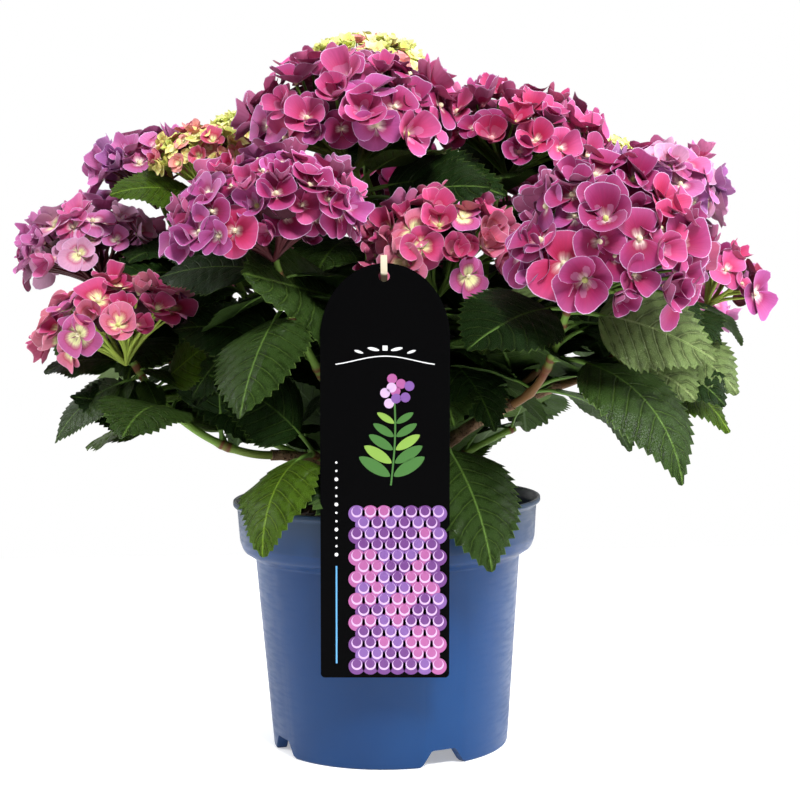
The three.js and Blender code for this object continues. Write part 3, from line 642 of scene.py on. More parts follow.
# How the dome of flower middles lies in its head, in petal reaches: in from the side, down from the top and
# up from the foot, then the share of the head's lean. The solid heads have one rule, the flowers here another.
solidDome, bloomDome = (0.22, 1.17, 0.95, 1.0), (0.85, 1.90, 1.12, 0.55)
cadSepal = dict(full=0.024, rose=0.0215, mauve=0.020, half=0.0115, green=0.0085)
bloom = dict(limit=91, goldenAngle=137.508, cover=5.8, stray=0.28, tilt=22, sunk=0.60, deepFrom=0.66,
             rows=(0.42, 0.76, 1.0), backRow=1, columns=15, spread=80, along=0.5, across=0.60, blunt=0.09,
             fiveFrom=0.87, thick=0.0005, clear=0.75)
fanDepth = 0.027         # from a solid head's belt down to its stem
plainPetal = 0.0165      # the petal reach at which eyes and stalks have their named size


def headFrame(one, sepal, dome):  # axis, radius, rise, middle of the belt and the two directions across the axis
    inward, down, above, settled = dome
    lean = math.radians(one["lean"] * settled)
    axis = outward(one["towards"]) * math.sin(lean) + up * math.cos(lean)
    middle = outward(one["bearing"]) * one["reach"] + up * one["height"]
    belt = middle + axis * (above * sepal - one["tall"] / 2)
    pivot = unit(np.cross(up, axis))  # the shortest turn from upright to the axis carries +X and +Y with it
    aside, over = (turned(way, pivot, np.float64(lean)) for way in np.eye(3)[:2])
    wider, taller = (one["wider"], one["taller"]) if dome is bloomDome else (1.0, 1.0)
    radius, rise = (one["across"] / 2 - inward * sepal) * wider, (one["tall"] - down * sepal) * taller
    return axis, radius, rise, belt, aside, over


def flowersOf(one, seed):
    # Flowers dealt over a half ellipsoid by the golden angle: height falls evenly from the pole to just
    # under the belt. Each strays and tips a little, and some sit deeper and are smaller.
    sepal = one["petal"]
    axis, radius, rise, belt, aside, over = headFrame(one, sepal, bloomDome)
    count = int(round(bloom["cover"] * radius * (rise + 0.5 * sepal) / sepal ** 2))
    number = np.arange(count)
    height = 1 - (1 - math.cos(math.radians(bloom["limit"]))) * (number + 0.5) / count
    ring = np.sqrt(1 - height ** 2)
    angle = np.radians(bloom["goldenAngle"]) * number + seed
    flat = np.stack([np.cos(angle) * ring, np.sin(angle) * ring, height], -1)
    deep = np.maximum(chance(seed + 2.3 * number) - bloom["deepFrom"], 0) / (1 - bloom["deepFrom"])
    size = sepal * (0.84 + 0.34 * chance(seed + 3.1 * number)) * (1 - 0.22 * (deep > 0))
    basis, axes = np.stack([aside, over, axis]), np.array([radius, radius, rise])
    normal = unit(flat / axes) @ basis
    centre = (flat * axes) @ basis + belt - normal * (deep * bloom["sunk"] * sepal)[:, None]
    stray = chance(seed * 3 + number[:, None] * 4.3 + np.arange(3)) - 0.5
    stray = stray - normal * np.sum(stray * normal, -1, keepdims=True)
    centre = centre + stray * 2 * bloom["stray"] * sepal
    sway = unit(np.cross(normal, chance(seed * 7 + number[:, None] * 3.7 + np.arange(3)) - 0.5))
    normal = turned(normal, sway, np.radians(bloom["tilt"]) * (2 * chance(seed + 5.9 * number) - 0.6))
    # A flower that would come through the tag is pressed back until its petals clear it.
    reach = np.array([0.0, bloom["clear"], 0.0]) * size[:, None]
    return dict(centre=behindTag(centre - reach) + reach, normal=normal, size=size,
                spin=2 * np.pi * chance(seed + 7.7 * number), cup=chance(seed + 9.1 * number), number=number)


allFlowers = {name: flowersOf(one, number + 1) for number, (name, one) in enumerate(heads.items())}


def sepalPoints(petals):
    # Polar about the flower's middle: the outline is an ellipse through it, with half axes `along` and
    # `across` in shares of the reach. All sepals lie in one bowl, which climbs at an angle eased from
    # `steep` at its middle to `flat` at the reach; each spoons upwards to its sides and waves at its rim.
    # Gives the rows of points, and the same rows pushed back by the thickness.
    seed, reach, spoon, layer = (petals[key][:, None, None] for key in ("seed", "reach", "spoon", "layer"))
    start, end = (np.radians(petals[key])[:, None, None] for key in ("steep", "flat"))
    way, side, normal, centre = (petals[key][:, None, None] for key in ("way", "side", "normal", "centre"))
    row = np.array(bloom["rows"])[:, None]
    column = np.linspace(-1, 1, bloom["columns"])
    theta = column * np.radians(bloom["spread"])
    cosine, sine = np.cos(theta) / bloom["along"], np.sin(theta) / bloom["across"]
    outline = 2 * cosine / (cosine ** 2 + sine ** 2)
    lobed = 1 + 0.05 * np.sin(2.5 * theta + 6.3 * chance(seed)) + bloom["blunt"] * np.sin(2 * theta) ** 2
    lobed = lobed + 0.02 * np.sin(7 * theta + 6.3 * chance(seed + 0.4)) * row ** 3
    far = outline * lobed * row
    bend = np.where(np.abs(end - start) < 1e-3, 1e-3, end - start)
    angle = start + bend * far
    radial = reach * (np.sin(angle) - np.sin(start)) / bend
    sideways = far * sine
    wave = (0.030 * row ** 3 * np.sin(7.5 * column + 9 * chance(seed + 0.7))
            + 0.10 * sideways * (chance(seed + 0.3) - 0.5))
    lift = (np.cos(start) - np.cos(angle)) / bend + spoon * sideways ** 2 + layer * far + wave
    top = (centre + way * (radial * np.cos(theta))[..., None] + side * (radial * np.sin(theta))[..., None]
           + normal * (reach * lift)[..., None])
    skin = unit(np.cross(np.gradient(top, axis=1), np.gradient(top, axis=2)))
    return top, top - skin * bloom["thick"]


def sepalFaces():
    # Corner numbers of one sepal: the apex, rows of columns, then a lower skin with one row of its own,
    # which shares the sides and the rim. Two slivers close the sides between the apex and that row.
    rows, columns, back = len(bloom["rows"]), bloom["columns"], bloom["backRow"]
    top = 1 + np.arange(rows * columns).reshape(rows, columns)
    low = top[back].copy()
    low[1:-1] = 1 + rows * columns + np.arange(columns - 2)
    first, rim, apex = top[0], top[-1], np.zeros(columns - 1, int)
    upper = gridFaces(rows, columns)[:, [0, 3, 2, 1]] + 1
    lower = np.stack([low[:-1], low[1:], rim[1:], rim[:-1]], -1)
    slivers = np.array([[0, low[0], first[0]], [0, first[-1], low[-1]]])
    return ((np.stack([apex, first[:-1], first[1:]], -1), upper),
            (np.stack([apex, low[1:], low[:-1]], -1), lower, slivers))


# A petal's colours: its body, how far the pale throat reaches along it, the throat and the rim.
cream, lime, pale, rosy = (0.84, 0.72, 0.62), (0.76, 0.76, 0.38), (0.64, 0.50, 0.72), (0.70, 0.46, 0.56)
petalTints = dict(
    full=dict(magenta=((0.300, 0.020, 0.108), 0.12, cream, pale), pink=((0.520, 0.064, 0.205), 0.12, cream, pale),
              crimson=((0.480, 0.032, 0.122), 0.14, cream, pale), plum=((0.360, 0.056, 0.215), 0.18, cream, pale)),
    rose=dict(rose=((0.510, 0.048, 0.155), 0.28, lime, rosy), crimson=((0.440, 0.028, 0.115), 0.24, lime, rosy),
              coral=((0.600, 0.150, 0.230), 0.36, lime, rosy), orchid=((0.460, 0.080, 0.240), 0.40, lime, pale)),
    mauve=dict(mauve=((0.500, 0.130, 0.330), 0.24, cream, pale), violet=((0.330, 0.100, 0.300), 0.16, cream, pale),
               orchid=((0.580, 0.110, 0.280), 0.22, cream, pale), lilac=((0.640, 0.320, 0.480), 0.30, lime, pale)),
    half=dict(lemon=((0.820, 0.780, 0.230), 0.45, lime, (0.42, 0.04, 0.12)),
              crimson=((0.560, 0.080, 0.140), 0.30, lime, rosy),
              coral=((0.760, 0.320, 0.250), 0.35, lime, (0.42, 0.04, 0.12)),
              lime=((0.600, 0.700, 0.130), 0.45, lime, (0.45, 0.10, 0.10))),
    green=dict(lime=((0.740, 0.820, 0.240), 0.2, lime, (0.84, 0.86, 0.46)),
               lemon=((0.860, 0.860, 0.380), 0.2, lime, (0.90, 0.90, 0.55)),
               blush=((0.720, 0.300, 0.260), 0.3, lime, (0.50, 0.10, 0.14)),
               leaf=((0.380, 0.520, 0.070), 0.2, lime, (0.60, 0.68, 0.20))),
)


def petalShade(name, looks, column, under):
    # Along the sepal: a pale throat, then the body darkened as painted shade inside the cup, its own colour, then
    # a little bluer and lighter, partly as painted light, to a thin pale toothed rim. Fine veins run out from the
    # throat. The underside is paler and plainer.
    throat = looks[1]
    body, throatColour, rim = (np.array(looks[part]) for part in (0, 2, 3))
    shade = Shade(name, roughness=0.6, specular_ior_level=0.18, sheen_weight=0.06, sheen_roughness=0.4)
    across, along = shade.tile(column, 1 if under else 0)
    aside = shade.sum("ABSOLUTE", shade.sum("MULTIPLY_ADD", across, 2.0, -1.0))
    vein = shade.noise(shade.vector(shade.product(across, 24.0), shade.product(along, 1.4)), 1.0, 3.0)
    tooth = shade.noise(shade.vector(shade.product(across, 60.0), shade.product(along, 30.0)), 1.0, 1.0)
    # outer is the body lightened with a whitish blue: partly the sepal's own colour, partly painted light
    outer, plain = body * 0.90 + np.array([0.060, 0.030, 0.080]), body * 0.80 + rim * 0.15
    if under:
        stops = [(0.0, throatColour), (0.3, plain), (1.0, plain * 0.92)]
    else:
        # Just past the throat the body is darker and redder: painted shade inside the cup.
        stops = [(0.0, throatColour), (throat, throatColour), (throat + 0.10, body * 0.6 + throatColour * 0.30),
                 (throat + 0.24, body * np.array([0.84, 0.45, 0.55])), (0.66, body),
                 (0.92, outer), (1.0, outer * 1.1)]
    colour = shade.ramp(shade.sum("ADD", along, shade.between(vein, 0.3, 0.7, -0.03, 0.03)), stops)
    colour = shade.mix(shade.between(vein, 0.42, 0.60, 0.0, 0.14 if under else 0.24), colour, body * 0.66)
    edge = shade.sum("MULTIPLY_ADD", shade.sum("SUBTRACT", tooth, 0.5), 0.04, shade.sum("MAXIMUM", along, aside))
    shade.colour(shade.mix(shade.between(edge, 0.955, 0.985, 0.0, 0.75), colour, rim))
    shade.relief(vein, 0.0006, 0.4)
    return shade.material


def sepalsOf(name, flowers):  # where each sepal of one head sits and how it is bent, as arrays
    one = heads[name]
    seed, cup = len(name), flowers["cup"]
    if one["age"] in ("half", "green"):
        cup = one["cupped"] + (1 - one["cupped"]) * cup ** 1.5
    else:
        cup = np.clip(one["cupped"] + 1.1 * (cup - 0.5), 0, 1)
    flowers = dict(
        flowers, cup=cup, tint=dealt(one["tints"], chance(flowers["number"] * 1.9 + seed)),
        sepals=np.where(chance(flowers["number"] * 2.2 + 0.5) > bloom["fiveFrom"], 5, 4),
        across=unit(np.cross(flowers["normal"], anyWay)))
    found = []
    for order in range(5):
        kept = {key: value[order < flowers["sepals"]] for key, value in flowers.items()}
        number, normal, bowl = kept["number"], kept["normal"], kept["cup"]
        turn = kept["spin"] + 2 * np.pi * order / kept["sepals"] + 0.3 * (chance(number * 5 + order) - 0.5)
        way = turned(kept["across"], normal, turn)
        pick = number * 7.3 + order * 1.7 + seed
        inner = order % 2
        hang = np.clip(-way[:, 2], 0, 1) * (1 - bowl)  # a sepal that points down is larger and droops
        wobble = 7 * (chance(pick + 0.9) - 0.5)
        found.append(dict(
            centre=kept["centre"], normal=normal, way=way, side=np.cross(normal, way), seed=pick, tint=kept["tint"],
            reach=(kept["size"] * (0.92 + 0.18 * chance(number * 2.7 + order)) * (0.95 + 0.06 * inner)
                   * (1 + 0.14 * hang)),
            steep=14 + 24 * bowl + 5 * inner + wobble, flat=-26 + 92 * bowl + 8 * inner + 2 * wobble - 16 * hang,
            spoon=0.03 + 0.09 * inner + 0.06 * bowl, layer=0.09 * inner + 0 * bowl))
    return {key: np.concatenate([part[key] for part in found]) for key in found[0]}


def inTiles(flat, parts, tints, row):  # UV corners of faces `parts` in the tile of each copy's tint
    place = np.stack([tints, np.full(len(tints), row)], -1)[:, None, None]
    return [(flat[part][None] * inset + (1 - inset) / 2 + place) / tiles for part in parts]


def makeSepals(age):
    groups = [sepalsOf(name, flowers) for name, flowers in allFlowers.items() if heads[name]["age"] == age]
    petals = {key: np.concatenate([group[key] for group in groups]) for key in groups[0]}
    top, back = sepalPoints(petals)
    count, rows, columns = top.shape[:3]
    own = (slice(None), bloom["backRow"], slice(1, -1))  # the lower skin's own row
    points = np.concatenate([petals["centre"][:, None], top.reshape(count, -1, 3), back[own]], 1)
    flat = np.stack(np.broadcast_arrays(np.linspace(0, 1, columns), np.array(bloom["rows"])[:, None]), -1)
    flat = np.concatenate([[[0.5, 0.0]], flat.reshape(-1, 2), flat[own[1:]]])
    faces, slots, maps = [], [], []
    for row, skin in enumerate(sepalFaces()):
        faces += [many(part, count, points.shape[1]) for part in skin]
        slots += [np.repeat(petals["tint"] + row * len(petalTints[age]), len(part)) for part in skin]
        maps += inTiles(flat, skin, petals["tint"], row)
    shades = [petalShade(f"{age}_{name}" + ("_under" if under else ""), looks, column, under)
              for under in (False, True) for column, (name, looks) in enumerate(petalTints[age].items())]
    return addPiece(f"sepals_{age}", points.reshape(-1, 3), faces, shades, slots, maps, creaseAngle=70)


for age in petalTints:
    settle(makeSepals(age), "bloom_" + age, ["head_" + name for name in heads if heads[name]["age"] == age])


# ---- eyes of the flowers, the stalks under them and the closed inner buds, coloured as painted shade

eyes = dict(radius=0.0019, sides=7, rows=5, tints=dict(cream=(0.80, 0.74, 0.48), lime=(0.60, 0.68, 0.22),
                                                       pink=(0.78, 0.42, 0.44)),
            shares=dict(full=(5, 1, 2), rose=(3, 4, 1), mauve=(4, 3, 1), half=(1, 4, 1), green=(1, 5, 0)))
rays = dict(groups=6, rows=7, sides=5, foot=0.0016, tip=0.0009,
            tints=dict(green=(0.10, 0.17, 0.03), red=(0.075, 0.018, 0.022), lime=(0.40, 0.52, 0.09)))
# The cores' colour is painted shade: the dark crimson of the shade deep inside a head.
cores = dict(rows=7, sides=16, wide=0.66, colour=(0.060, 0.010, 0.022))


def makeEyes():  # a small round bud in the middle of each flower
    share, angle = np.linspace(0.06, 0.94, eyes["rows"])[:, None] * np.pi, circle(eyes["sides"])
    ball = np.stack([np.sin(share) * np.cos(angle), np.sin(share) * np.sin(angle), 0 * angle - np.cos(share)], -1)
    grids, slots = [], []
    for name, flowers in allFlowers.items():
        normal = flowers["normal"]
        size = (eyes["radius"] * np.clip(flowers["size"] / plainPetal, 0.45, 1.15))[:, None]
        across = unit(np.cross(normal, anyWay))
        basis = np.stack([across, np.cross(normal, across), normal], 1)[:, None]
        middle = flowers["centre"] + normal * size * 0.9
        grids.append((ball @ basis) * size[..., None, None] + middle[:, None, None])
        slots.append(dealt(eyes["shares"][heads[name]["age"]], flowers["cup"]))
    shades = [Shade("eye_" + tint, colour, roughness=0.5).material for tint, colour in eyes["tints"].items()]
    return addBodies("flowerEyes", np.concatenate(grids), shades, np.concatenate(slots))


def makeRays():
    # Stalks from the top of the stem: a few leave it together, then part towards their own flowers.
    centres, radii, slots = [], [], []
    for name, flowers in allFlowers.items():
        one = heads[name]
        axis, radius, rise, belt, aside, over = headFrame(one, one["petal"], bloomDome)
        stemTop = headFrame(one, cadSepal[one["age"]], solidDome)[3] - axis * fanDepth
        outwards = flowers["centre"] - belt
        step = 2 * np.pi / rays["groups"]
        group = np.round(np.arctan2(outwards @ over, outwards @ aside) / step) * step
        limb = np.cos(group)[:, None] * aside + np.sin(group)[:, None] * over
        foot = np.broadcast_to(stemTop, limb.shape)
        fork = stemTop + axis * 0.55 * fanDepth + limb * 0.30 * radius
        end = flowers["centre"] - flowers["normal"] * 0.0015
        bow = fork * 0.45 + end * 0.55 - flowers["normal"] * 0.2 * radius
        line = bezier([knot[:, None] for knot in (foot, fork, bow, end)], np.linspace(0, 1, rays["rows"])[None])
        size = np.clip(one["petal"] / plainPetal, 0.5, 1.1)
        centres.append(line)
        radii.append(np.broadcast_to(np.linspace(rays["foot"], rays["tip"], rays["rows"]) * size, line.shape[:2]))
        slots.append(np.full(len(line), list(rays["tints"]).index(one["ray"])))
    grids = tubes(np.concatenate(centres), np.concatenate(radii), rays["sides"])
    shades = [Shade("ray_" + tint, colour, roughness=0.5, specular_ior_level=0.15).material
              for tint, colour in rays["tints"].items()]
    return addBodies("flowerRays", grids, shades, np.concatenate(slots))


def makeCores():  # closed inner buds: a dark dome deep in each head, its colour painted shade
    share, angle = np.linspace(0.06, 0.97, cores["rows"])[:, None] * np.pi, circle(cores["sides"])
    grids = []
    for name, one in heads.items():
        axis, radius, rise, belt, aside, over = headFrame(one, one["petal"], bloomDome)
        wide = cores["wide"] * radius * (1 + 0.08 * np.sin(3 * angle + len(name))) * np.sin(share)
        height = (0.36 - 0.30 * np.cos(share)) * rise + 0 * angle
        core = np.stack([wide * np.cos(angle), wide * np.sin(angle), height], -1)
        grids.append(core @ np.stack([aside, over, axis]) + belt)
    return addBodies("headCores", np.array(grids), [Shade("innerBudsShade", cores["colour"], roughness=0.9).material])


for make, slot in ((makeCores, "bloom_full"), (makeEyes, "bloom_full"), (makeRays, "foliage")):
    settle(make(), slot, ["head_" + name for name in heads])


# ---- shoots: stems, leaf stalks and leaves

stem = dict(foot=0.0031, tip=0.0023, handle=0.34, archUp=0.010, lowFoot=0.175, sides=12, rows=64,
            green=(0.15, 0.26, 0.045), red=(0.13, 0.040, 0.022), wood=(0.16, 0.082, 0.032))
lowShoots = {"low_front_left": (-35, 0.092, 0.226), "low_front_right": (27, 0.078, 0.244),
             "low_right": (108, 0.104, 0.232), "low_left": (-108, 0.104, 0.228), "low_back": (180, 0.104, 0.226)}
leaf = dict(
    lengths=(0.078, 0.104, 0.118, 0.118, 0.110), firstBelowHead=0.024, firstBelowTip=0.004,
    spacing=0.042, lowest=0.12,
    quarterTurn=90, stalk=0.2, shoulder=0.77, rise=16, droop=74, halfWidth=0.33, same=0.0006,
    widening=0.6, closing=1.05, peak=0.3391,  # the blade's width is q^0.6 (1 - q)^1.05 over its peak
    teeth=17, tooth=0.034, forward=0.020, channel=0.14, sag=0.20, veins=9, sweep=0.34, pucker=0.028, ruffle=0.014,
    ribDepth=0.00132, columns=(-1, -0.82, -0.55, -0.26, 0, 0.26, 0.55, 0.82, 1),
)
turns, lifts = (0, 15, -15, 30, -30, 48, -48), (0, 18, -18, 34)  # how a solid leaf may be turned to fit
# The leaves that show in front: share of the shoot, bearing, rise, droop, length and roll.
chosenLeaves = {
    "front": ((0.9, 120, 10, 60, .070, 0), (0.78, 52, 14, 44, .138, -20), (0.72, -80, 10, 60, .080, -20),
              (0.45, 20, 20, 80, .100, 0), (0.4, 165, 20, 60, .090, 0)),
    "left_front": ((0.93, -110, 16, 60, .084, -20), (0.9, 60, 0, 50, .070, 0), (0.74, 36, -14, 62, .104, 6),
                   (0.7, -120, 10, 70, .096, 0), (0.4, -60, 20, 84, .108, 0), (0.36, 120, 20, 60, .080, 0)),
    "top": ((0.94, 70, 10, 60, .084, 0), (0.9, -118, 12, 50, .080, -20), (0.5, -48, 16, 24, .128, -54),
            (0.62, 120, 20, 60, .096, 0), (0.3, -130, 30, 70, .090, 0), (0.24, 60, 20, 70, .090, 0)),
    "right_front": ((0.92, -38, 6, 58, .104, -10), (0.9, 66, 12, 34, .108, 44), (0.8, 150, 10, 60, .080, 0),
                    (0.5, 56, 4, 92, .122, 6), (0.42, -20, 10, 70, .100, 0), (0.16, 110, 10, 80, .100, 0)),
    "right_tip": ((0.93, 108, -20, 50, .066, 0), (0.9, 20, -10, 60, .070, 0), (0.52, 62, 10, 96, .118, 10),
                  (0.48, 150, 10, 80, .100, 0), (0.16, 48, 8, 70, .104, 30)),
    "left_low": ((0.97, -88, 8, 76, .072, 0), (0.95, 60, 10, 60, .040, 0), (0.7, -86, 4, 70, .100, -20),
                 (0.68, 58, 44, 30, .096, 40), (0.3, -20, 66, 30, .104, 0), (0.26, -150, 10, 60, .090, 0)),
    "left_bud": ((0.95, -92, 16, 36, .080, -30), (0.93, 80, 10, 60, .060, 0), (0.76, -20, 10, 60, .090, 0),
                 (0.72, 170, 10, 60, .090, 0), (0.5, -100, 10, 70, .112, 0), (0.3, -40, 20, 70, .100, 0)),
    "low_front_left": ((0.97, -4, 22, 112, .100, 0), (0.94, -84, 16, 80, .104, 0), (0.5, 60, 30, 60, .060, 0)),
    "low_front_right": ((0.97, 30, 12, 104, .116, 0), (0.9, -30, 20, 80, .070, 0), (0.6, 80, 20, 80, .096, 0)),
}
# Leaves that lie otherwise than on their solid shoot, by their number there: the same six values, then the
# number of their tint.
laidOtherwise = {
    "top": {2: (0.42, -36, 12, 2, .152, -50, 1)},
    "left_front": {0: (0.93, -104, 16, 34, .090, -30, 0), 1: (0.90, 130, 20, 60, .070, 0, 0),
                   2: (0.78, -24, -24, 44, .106, 10, 1), 3: (0.70, -100, -12, 50, .096, -48, 0),
                   4: (0.4, -150, 30, 60, .090, 0, 0)},
    "left_low": {0: (0.97, -95, 22, 50, .070, -25, 0), 2: (0.90, -86, -8, 56, .082, -25, 1),
                 3: (0.8, 68, 40, 8, .078, 50, 2), 4: (0.3, 168, 96, 10, .104, 0, 0)},
    "left_bud": {0: (0.98, -66, 30, 50, .082, -30, 2)},
    "front": {1: (0.78, 62, 4, 42, .138, -24, 0)},
    "right_front": {0: (0.92, -46, 8, 46, .104, -30, 0), 1: (0.90, 78, -2, 34, .108, 44, 3),
                    3: (0.5, 56, 4, 88, .144, 6, 1), 4: (0.42, 150, 20, 60, .090, 0, 0)},
    "right_tip": {0: (0.93, 100, -8, 60, .060, 0, 1), 1: (0.90, 60, -24, 40, .046, 0, 0),
                  2: (0.52, 66, 4, 60, .092, 34, 3)},
    "low_front_left": {0: (0.97, -30, 4, 96, .104, 14, 2), 1: (0.94, -70, 58, 40, .100, -55, 0)},
    "low_front_right": {0: (0.97, 38, -34, 46, .118, 6, 1), 1: (0.90, -160, 30, 60, .070, 0, 0),
                        2: (0.6, 80, 62, 50, .090, 0, 0)},
    "low_right": {1: (0.97, 22, 60, 60, .073, 15, 2), 2: (0.61, 117, 60, 50, .095, -11, 0),
                  3: (0.26, 40, 66, 40, .100, 0, 0)},
    "low_left": {1: (0.97, -34, 66, 50, .086, 9, 0), 2: (0.61, -137, 62, 50, .100, -5, 0),
                 4: (0.25, -61, 76, 40, .110, 15, 0)},
}
# Leaves of the scene alone, with the same seven values: small ones under the heads and some between pairs.
moreLeaves = {
    "left_low": ((0.93, -60, -36, 34, .040, 0, 1), (0.93, 50, -40, 34, .038, 0, 1), (0.6, -84, 18, 12, .078, -42, 0),
                 (0.55, -120, 6, 40, .096, -20, 2)),
    "left_front": ((0.86, -130, -6, 50, .090, -10, 0), (0.84, 120, 0, 60, .075, 0, 0),
                   (0.5, -96, 30, 40, .100, -40, 0)),
    "front": ((0.86, 60, 10, 60, .075, 0, 1), (0.6, 84, -4, 50, .110, -20, 0), (0.5, -80, 10, 70, .10, 0, 0),
              (0.66, 40, -8, 60, .100, 0, 0)),
    "right_front": ((0.72, 136, 26, 60, .100, 20, 0), (0.6, 100, 40, 70, .110, 30, 0)),
    "top": ((0.9, 76, 20, 44, .112, 44, 0), (0.8, 60, 30, 40, .110, 40, 0)),
    "top_right": ((0.92, -62, 8, 46, .100, -36, 0), (0.86, 64, 8, 46, .100, 34, 0), (0.98, 96, 44, 70, .096, 30, 0),
                  (0.84, -100, 54, 40, .095, -30, 0), (0.90, 176, 84, 20, .080, 0, 0)),
    "left_upper": ((0.76, -40, 8, 50, .100, -20, 0), (0.62, -20, 20, 60, .110, 0, 0)),
    "left": ((0.7, 66, 20, 40, .096, 34, 0),),
    "left_bud": ((0.62, -66, 30, 50, .110, -40, 0), (0.60, 50, 20, 50, .100, 20, 0)),
    "right_tip": ((0.2, 78, 16, 80, .120, 20, 2), (0.8, 150, -10, 60, .075, 0, 0), (0.34, 60, 10, 60, .100, 30, 0)),
    "low_front_left": ((0.8, 20, 10, 100, .095, 0, 0), (0.7, -100, 50, 60, .080, 0, 0)),
    "low_front_right": ((0.75, -60, 50, 70, .085, 0, 0), (0.75, 110, 50, 60, .080, 0, 0)),
}
fill = dict(offset=0.045, spacing=0.042, pairs=5, rise=32, droop=62, length=0.088, nearest=0.1,
            lowest=0.245, widest=0.235, front=-0.14,  # how far the tips may reach
            tagFront=-0.085, tagWide=0.09, tagTop=0.38)  # and the space kept free behind the tag


def shootKnots(name):  # the stem's curve: square off its bough, then up the axis of its flower head
    if name in lowShoots:
        bearing, reach, height = lowShoots[name]
        foot, tip = up * stem["lowFoot"], outward(bearing) * reach + up * height
        return [foot, (foot + tip) / 2 + up * stem["archUp"], tip]
    one = heads[name]
    arch, start = boughArch(one["bough"]), np.float64(one["start"])
    axis, _, _, belt, _, _ = headFrame(one, cadSepal[one["age"]], solidDome)
    foot, tip, leave = archPoint(arch, start), belt - axis * (fanDepth + gap), archWay(arch, start)
    span = np.linalg.norm(tip - foot)
    if start < 1:
        leave = unit(leave + unit(tip - foot))
    return [foot, foot + leave * stem["handle"] * span, tip - axis * stem["handle"] * span, tip]


def leavesOf(name, knots, seed):  # rows of share, bearing, rise, droop, length and roll
    if name in chosenLeaves:
        return chosenLeaves[name]
    below = leaf["firstBelowTip"] if name in lowShoots else leaf["firstBelowHead"]
    found = []
    for pair, wanted in enumerate(leaf["lengths"]):
        share = 1 - (below + pair * leaf["spacing"]) / lengthOf(knots)
        for opposite in (0, 180):
            pick = chance(seed + 11 * pair + opposite / 30 + np.arange(5)) - 0.5
            bearing = 360 * chance(seed) + leaf["quarterTurn"] * pair + opposite + 24 * pick[0]
            found.append((share, bearing, leaf["rise"] + 26 * pick[1], leaf["droop"] + 40 * pick[2],
                          wanted * (1 + 0.2 * pick[3]), 30 * pick[4]))
    return [row for row in found if row[0] >= leaf["lowest"]]


def fillersOf(knots, seed):
    # Smaller leaves between the pairs, inside the crown: kept where their tip stays high and well within it.
    found = []
    for pair in range(fill["pairs"]):
        share = 1 - (fill["offset"] + pair * fill["spacing"]) / lengthOf(knots)
        for opposite in (0, 180):
            pick = chance(seed * 1.7 + 13 * pair + opposite / 40 + np.arange(5)) - 0.5
            row = (share, 360 * chance(seed) + 45 + 90 * pair + opposite + 40 * pick[0], fill["rise"] + 30 * pick[1],
                   fill["droop"] + 30 * pick[2], fill["length"] * (1 + 0.4 * pick[3]), 30 * pick[4], -1)
            root = evenly(knots, [share])[0]
            arch = dict(root=root, bearing=row[1], rise=row[2], bend=row[3], length=row[4])
            x, y, z = archPoint(arch, np.float64(1.0))
            within = z > fill["lowest"] and abs(x) < fill["widest"] and y > fill["front"]
            behind = y < fill["tagFront"] and abs(x) < fill["tagWide"] and z < fill["tagTop"]
            if share >= fill["nearest"] and within and not behind:
                found.append(row)
    return found


def fitted(name, knots, leaves):  # the leaves as the solid shoot has them: turned or lifted, or left out
    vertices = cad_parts["shoot_" + name].data.vertices
    cloud = np.empty(len(vertices) * 3, np.float32)
    vertices.foreach_get("co", cloud)
    found = []
    for share, bearing, rise, droop, length, roll in leaves:
        turn, lift = (part.ravel() for part in np.meshgrid(turns, lifts, indexing="ij"))
        tried = dict(root=evenly(knots, [share]), bearing=bearing + turn, rise=rise + lift,
                     bend=np.full(len(turn), float(droop)), length=length)
        marks = np.stack([archPoint(tried, np.float64(mark)) for mark in (1.0, leaf["shoulder"])])
        far = np.linalg.norm(marks[:, :, None] - cloud.reshape(-1, 3), axis=-1).min(-1).max(0)
        best = int(np.argmin(far))
        if far[best] < leaf["same"]:
            found.append((*tried["root"][0], tried["bearing"][best], tried["rise"][best],
                          droop, length, roll, share, -1))
    return np.array(found).reshape(-1, 10)


def rooted(knots, rows):  # such rows with the root's place put first and its share after the roll
    rows = np.array(rows, float).reshape(-1, 7)
    return np.concatenate([evenly(knots, rows[:, 0]), rows[:, 1:6], rows[:, [0, 6]]], 1)


shoots = {}
for number, name in enumerate([*lowShoots, *heads]):
    knots = shootKnots(name)
    leaves = fitted(name, knots, leavesOf(name, knots, number + 1))
    for place, row in laidOtherwise.get(name, {}).items():
        leaves[place] = rooted(knots, [row])[0]
    inner = fillersOf(knots, number + 1) if name in heads else []
    shoots[name] = dict(knots=knots, leaves=leaves, more=rooted(knots, [*moreLeaves.get(name, ()), *inner]))
shootNodes = ["shoot_" + name for name in shoots]
outerLeaves, innerLeaves = (np.concatenate([shoot[key] for shoot in shoots.values()]) for key in ("leaves", "more"))
print("leaves:", len(outerLeaves), "on the solids and", len(innerLeaves), "between them")


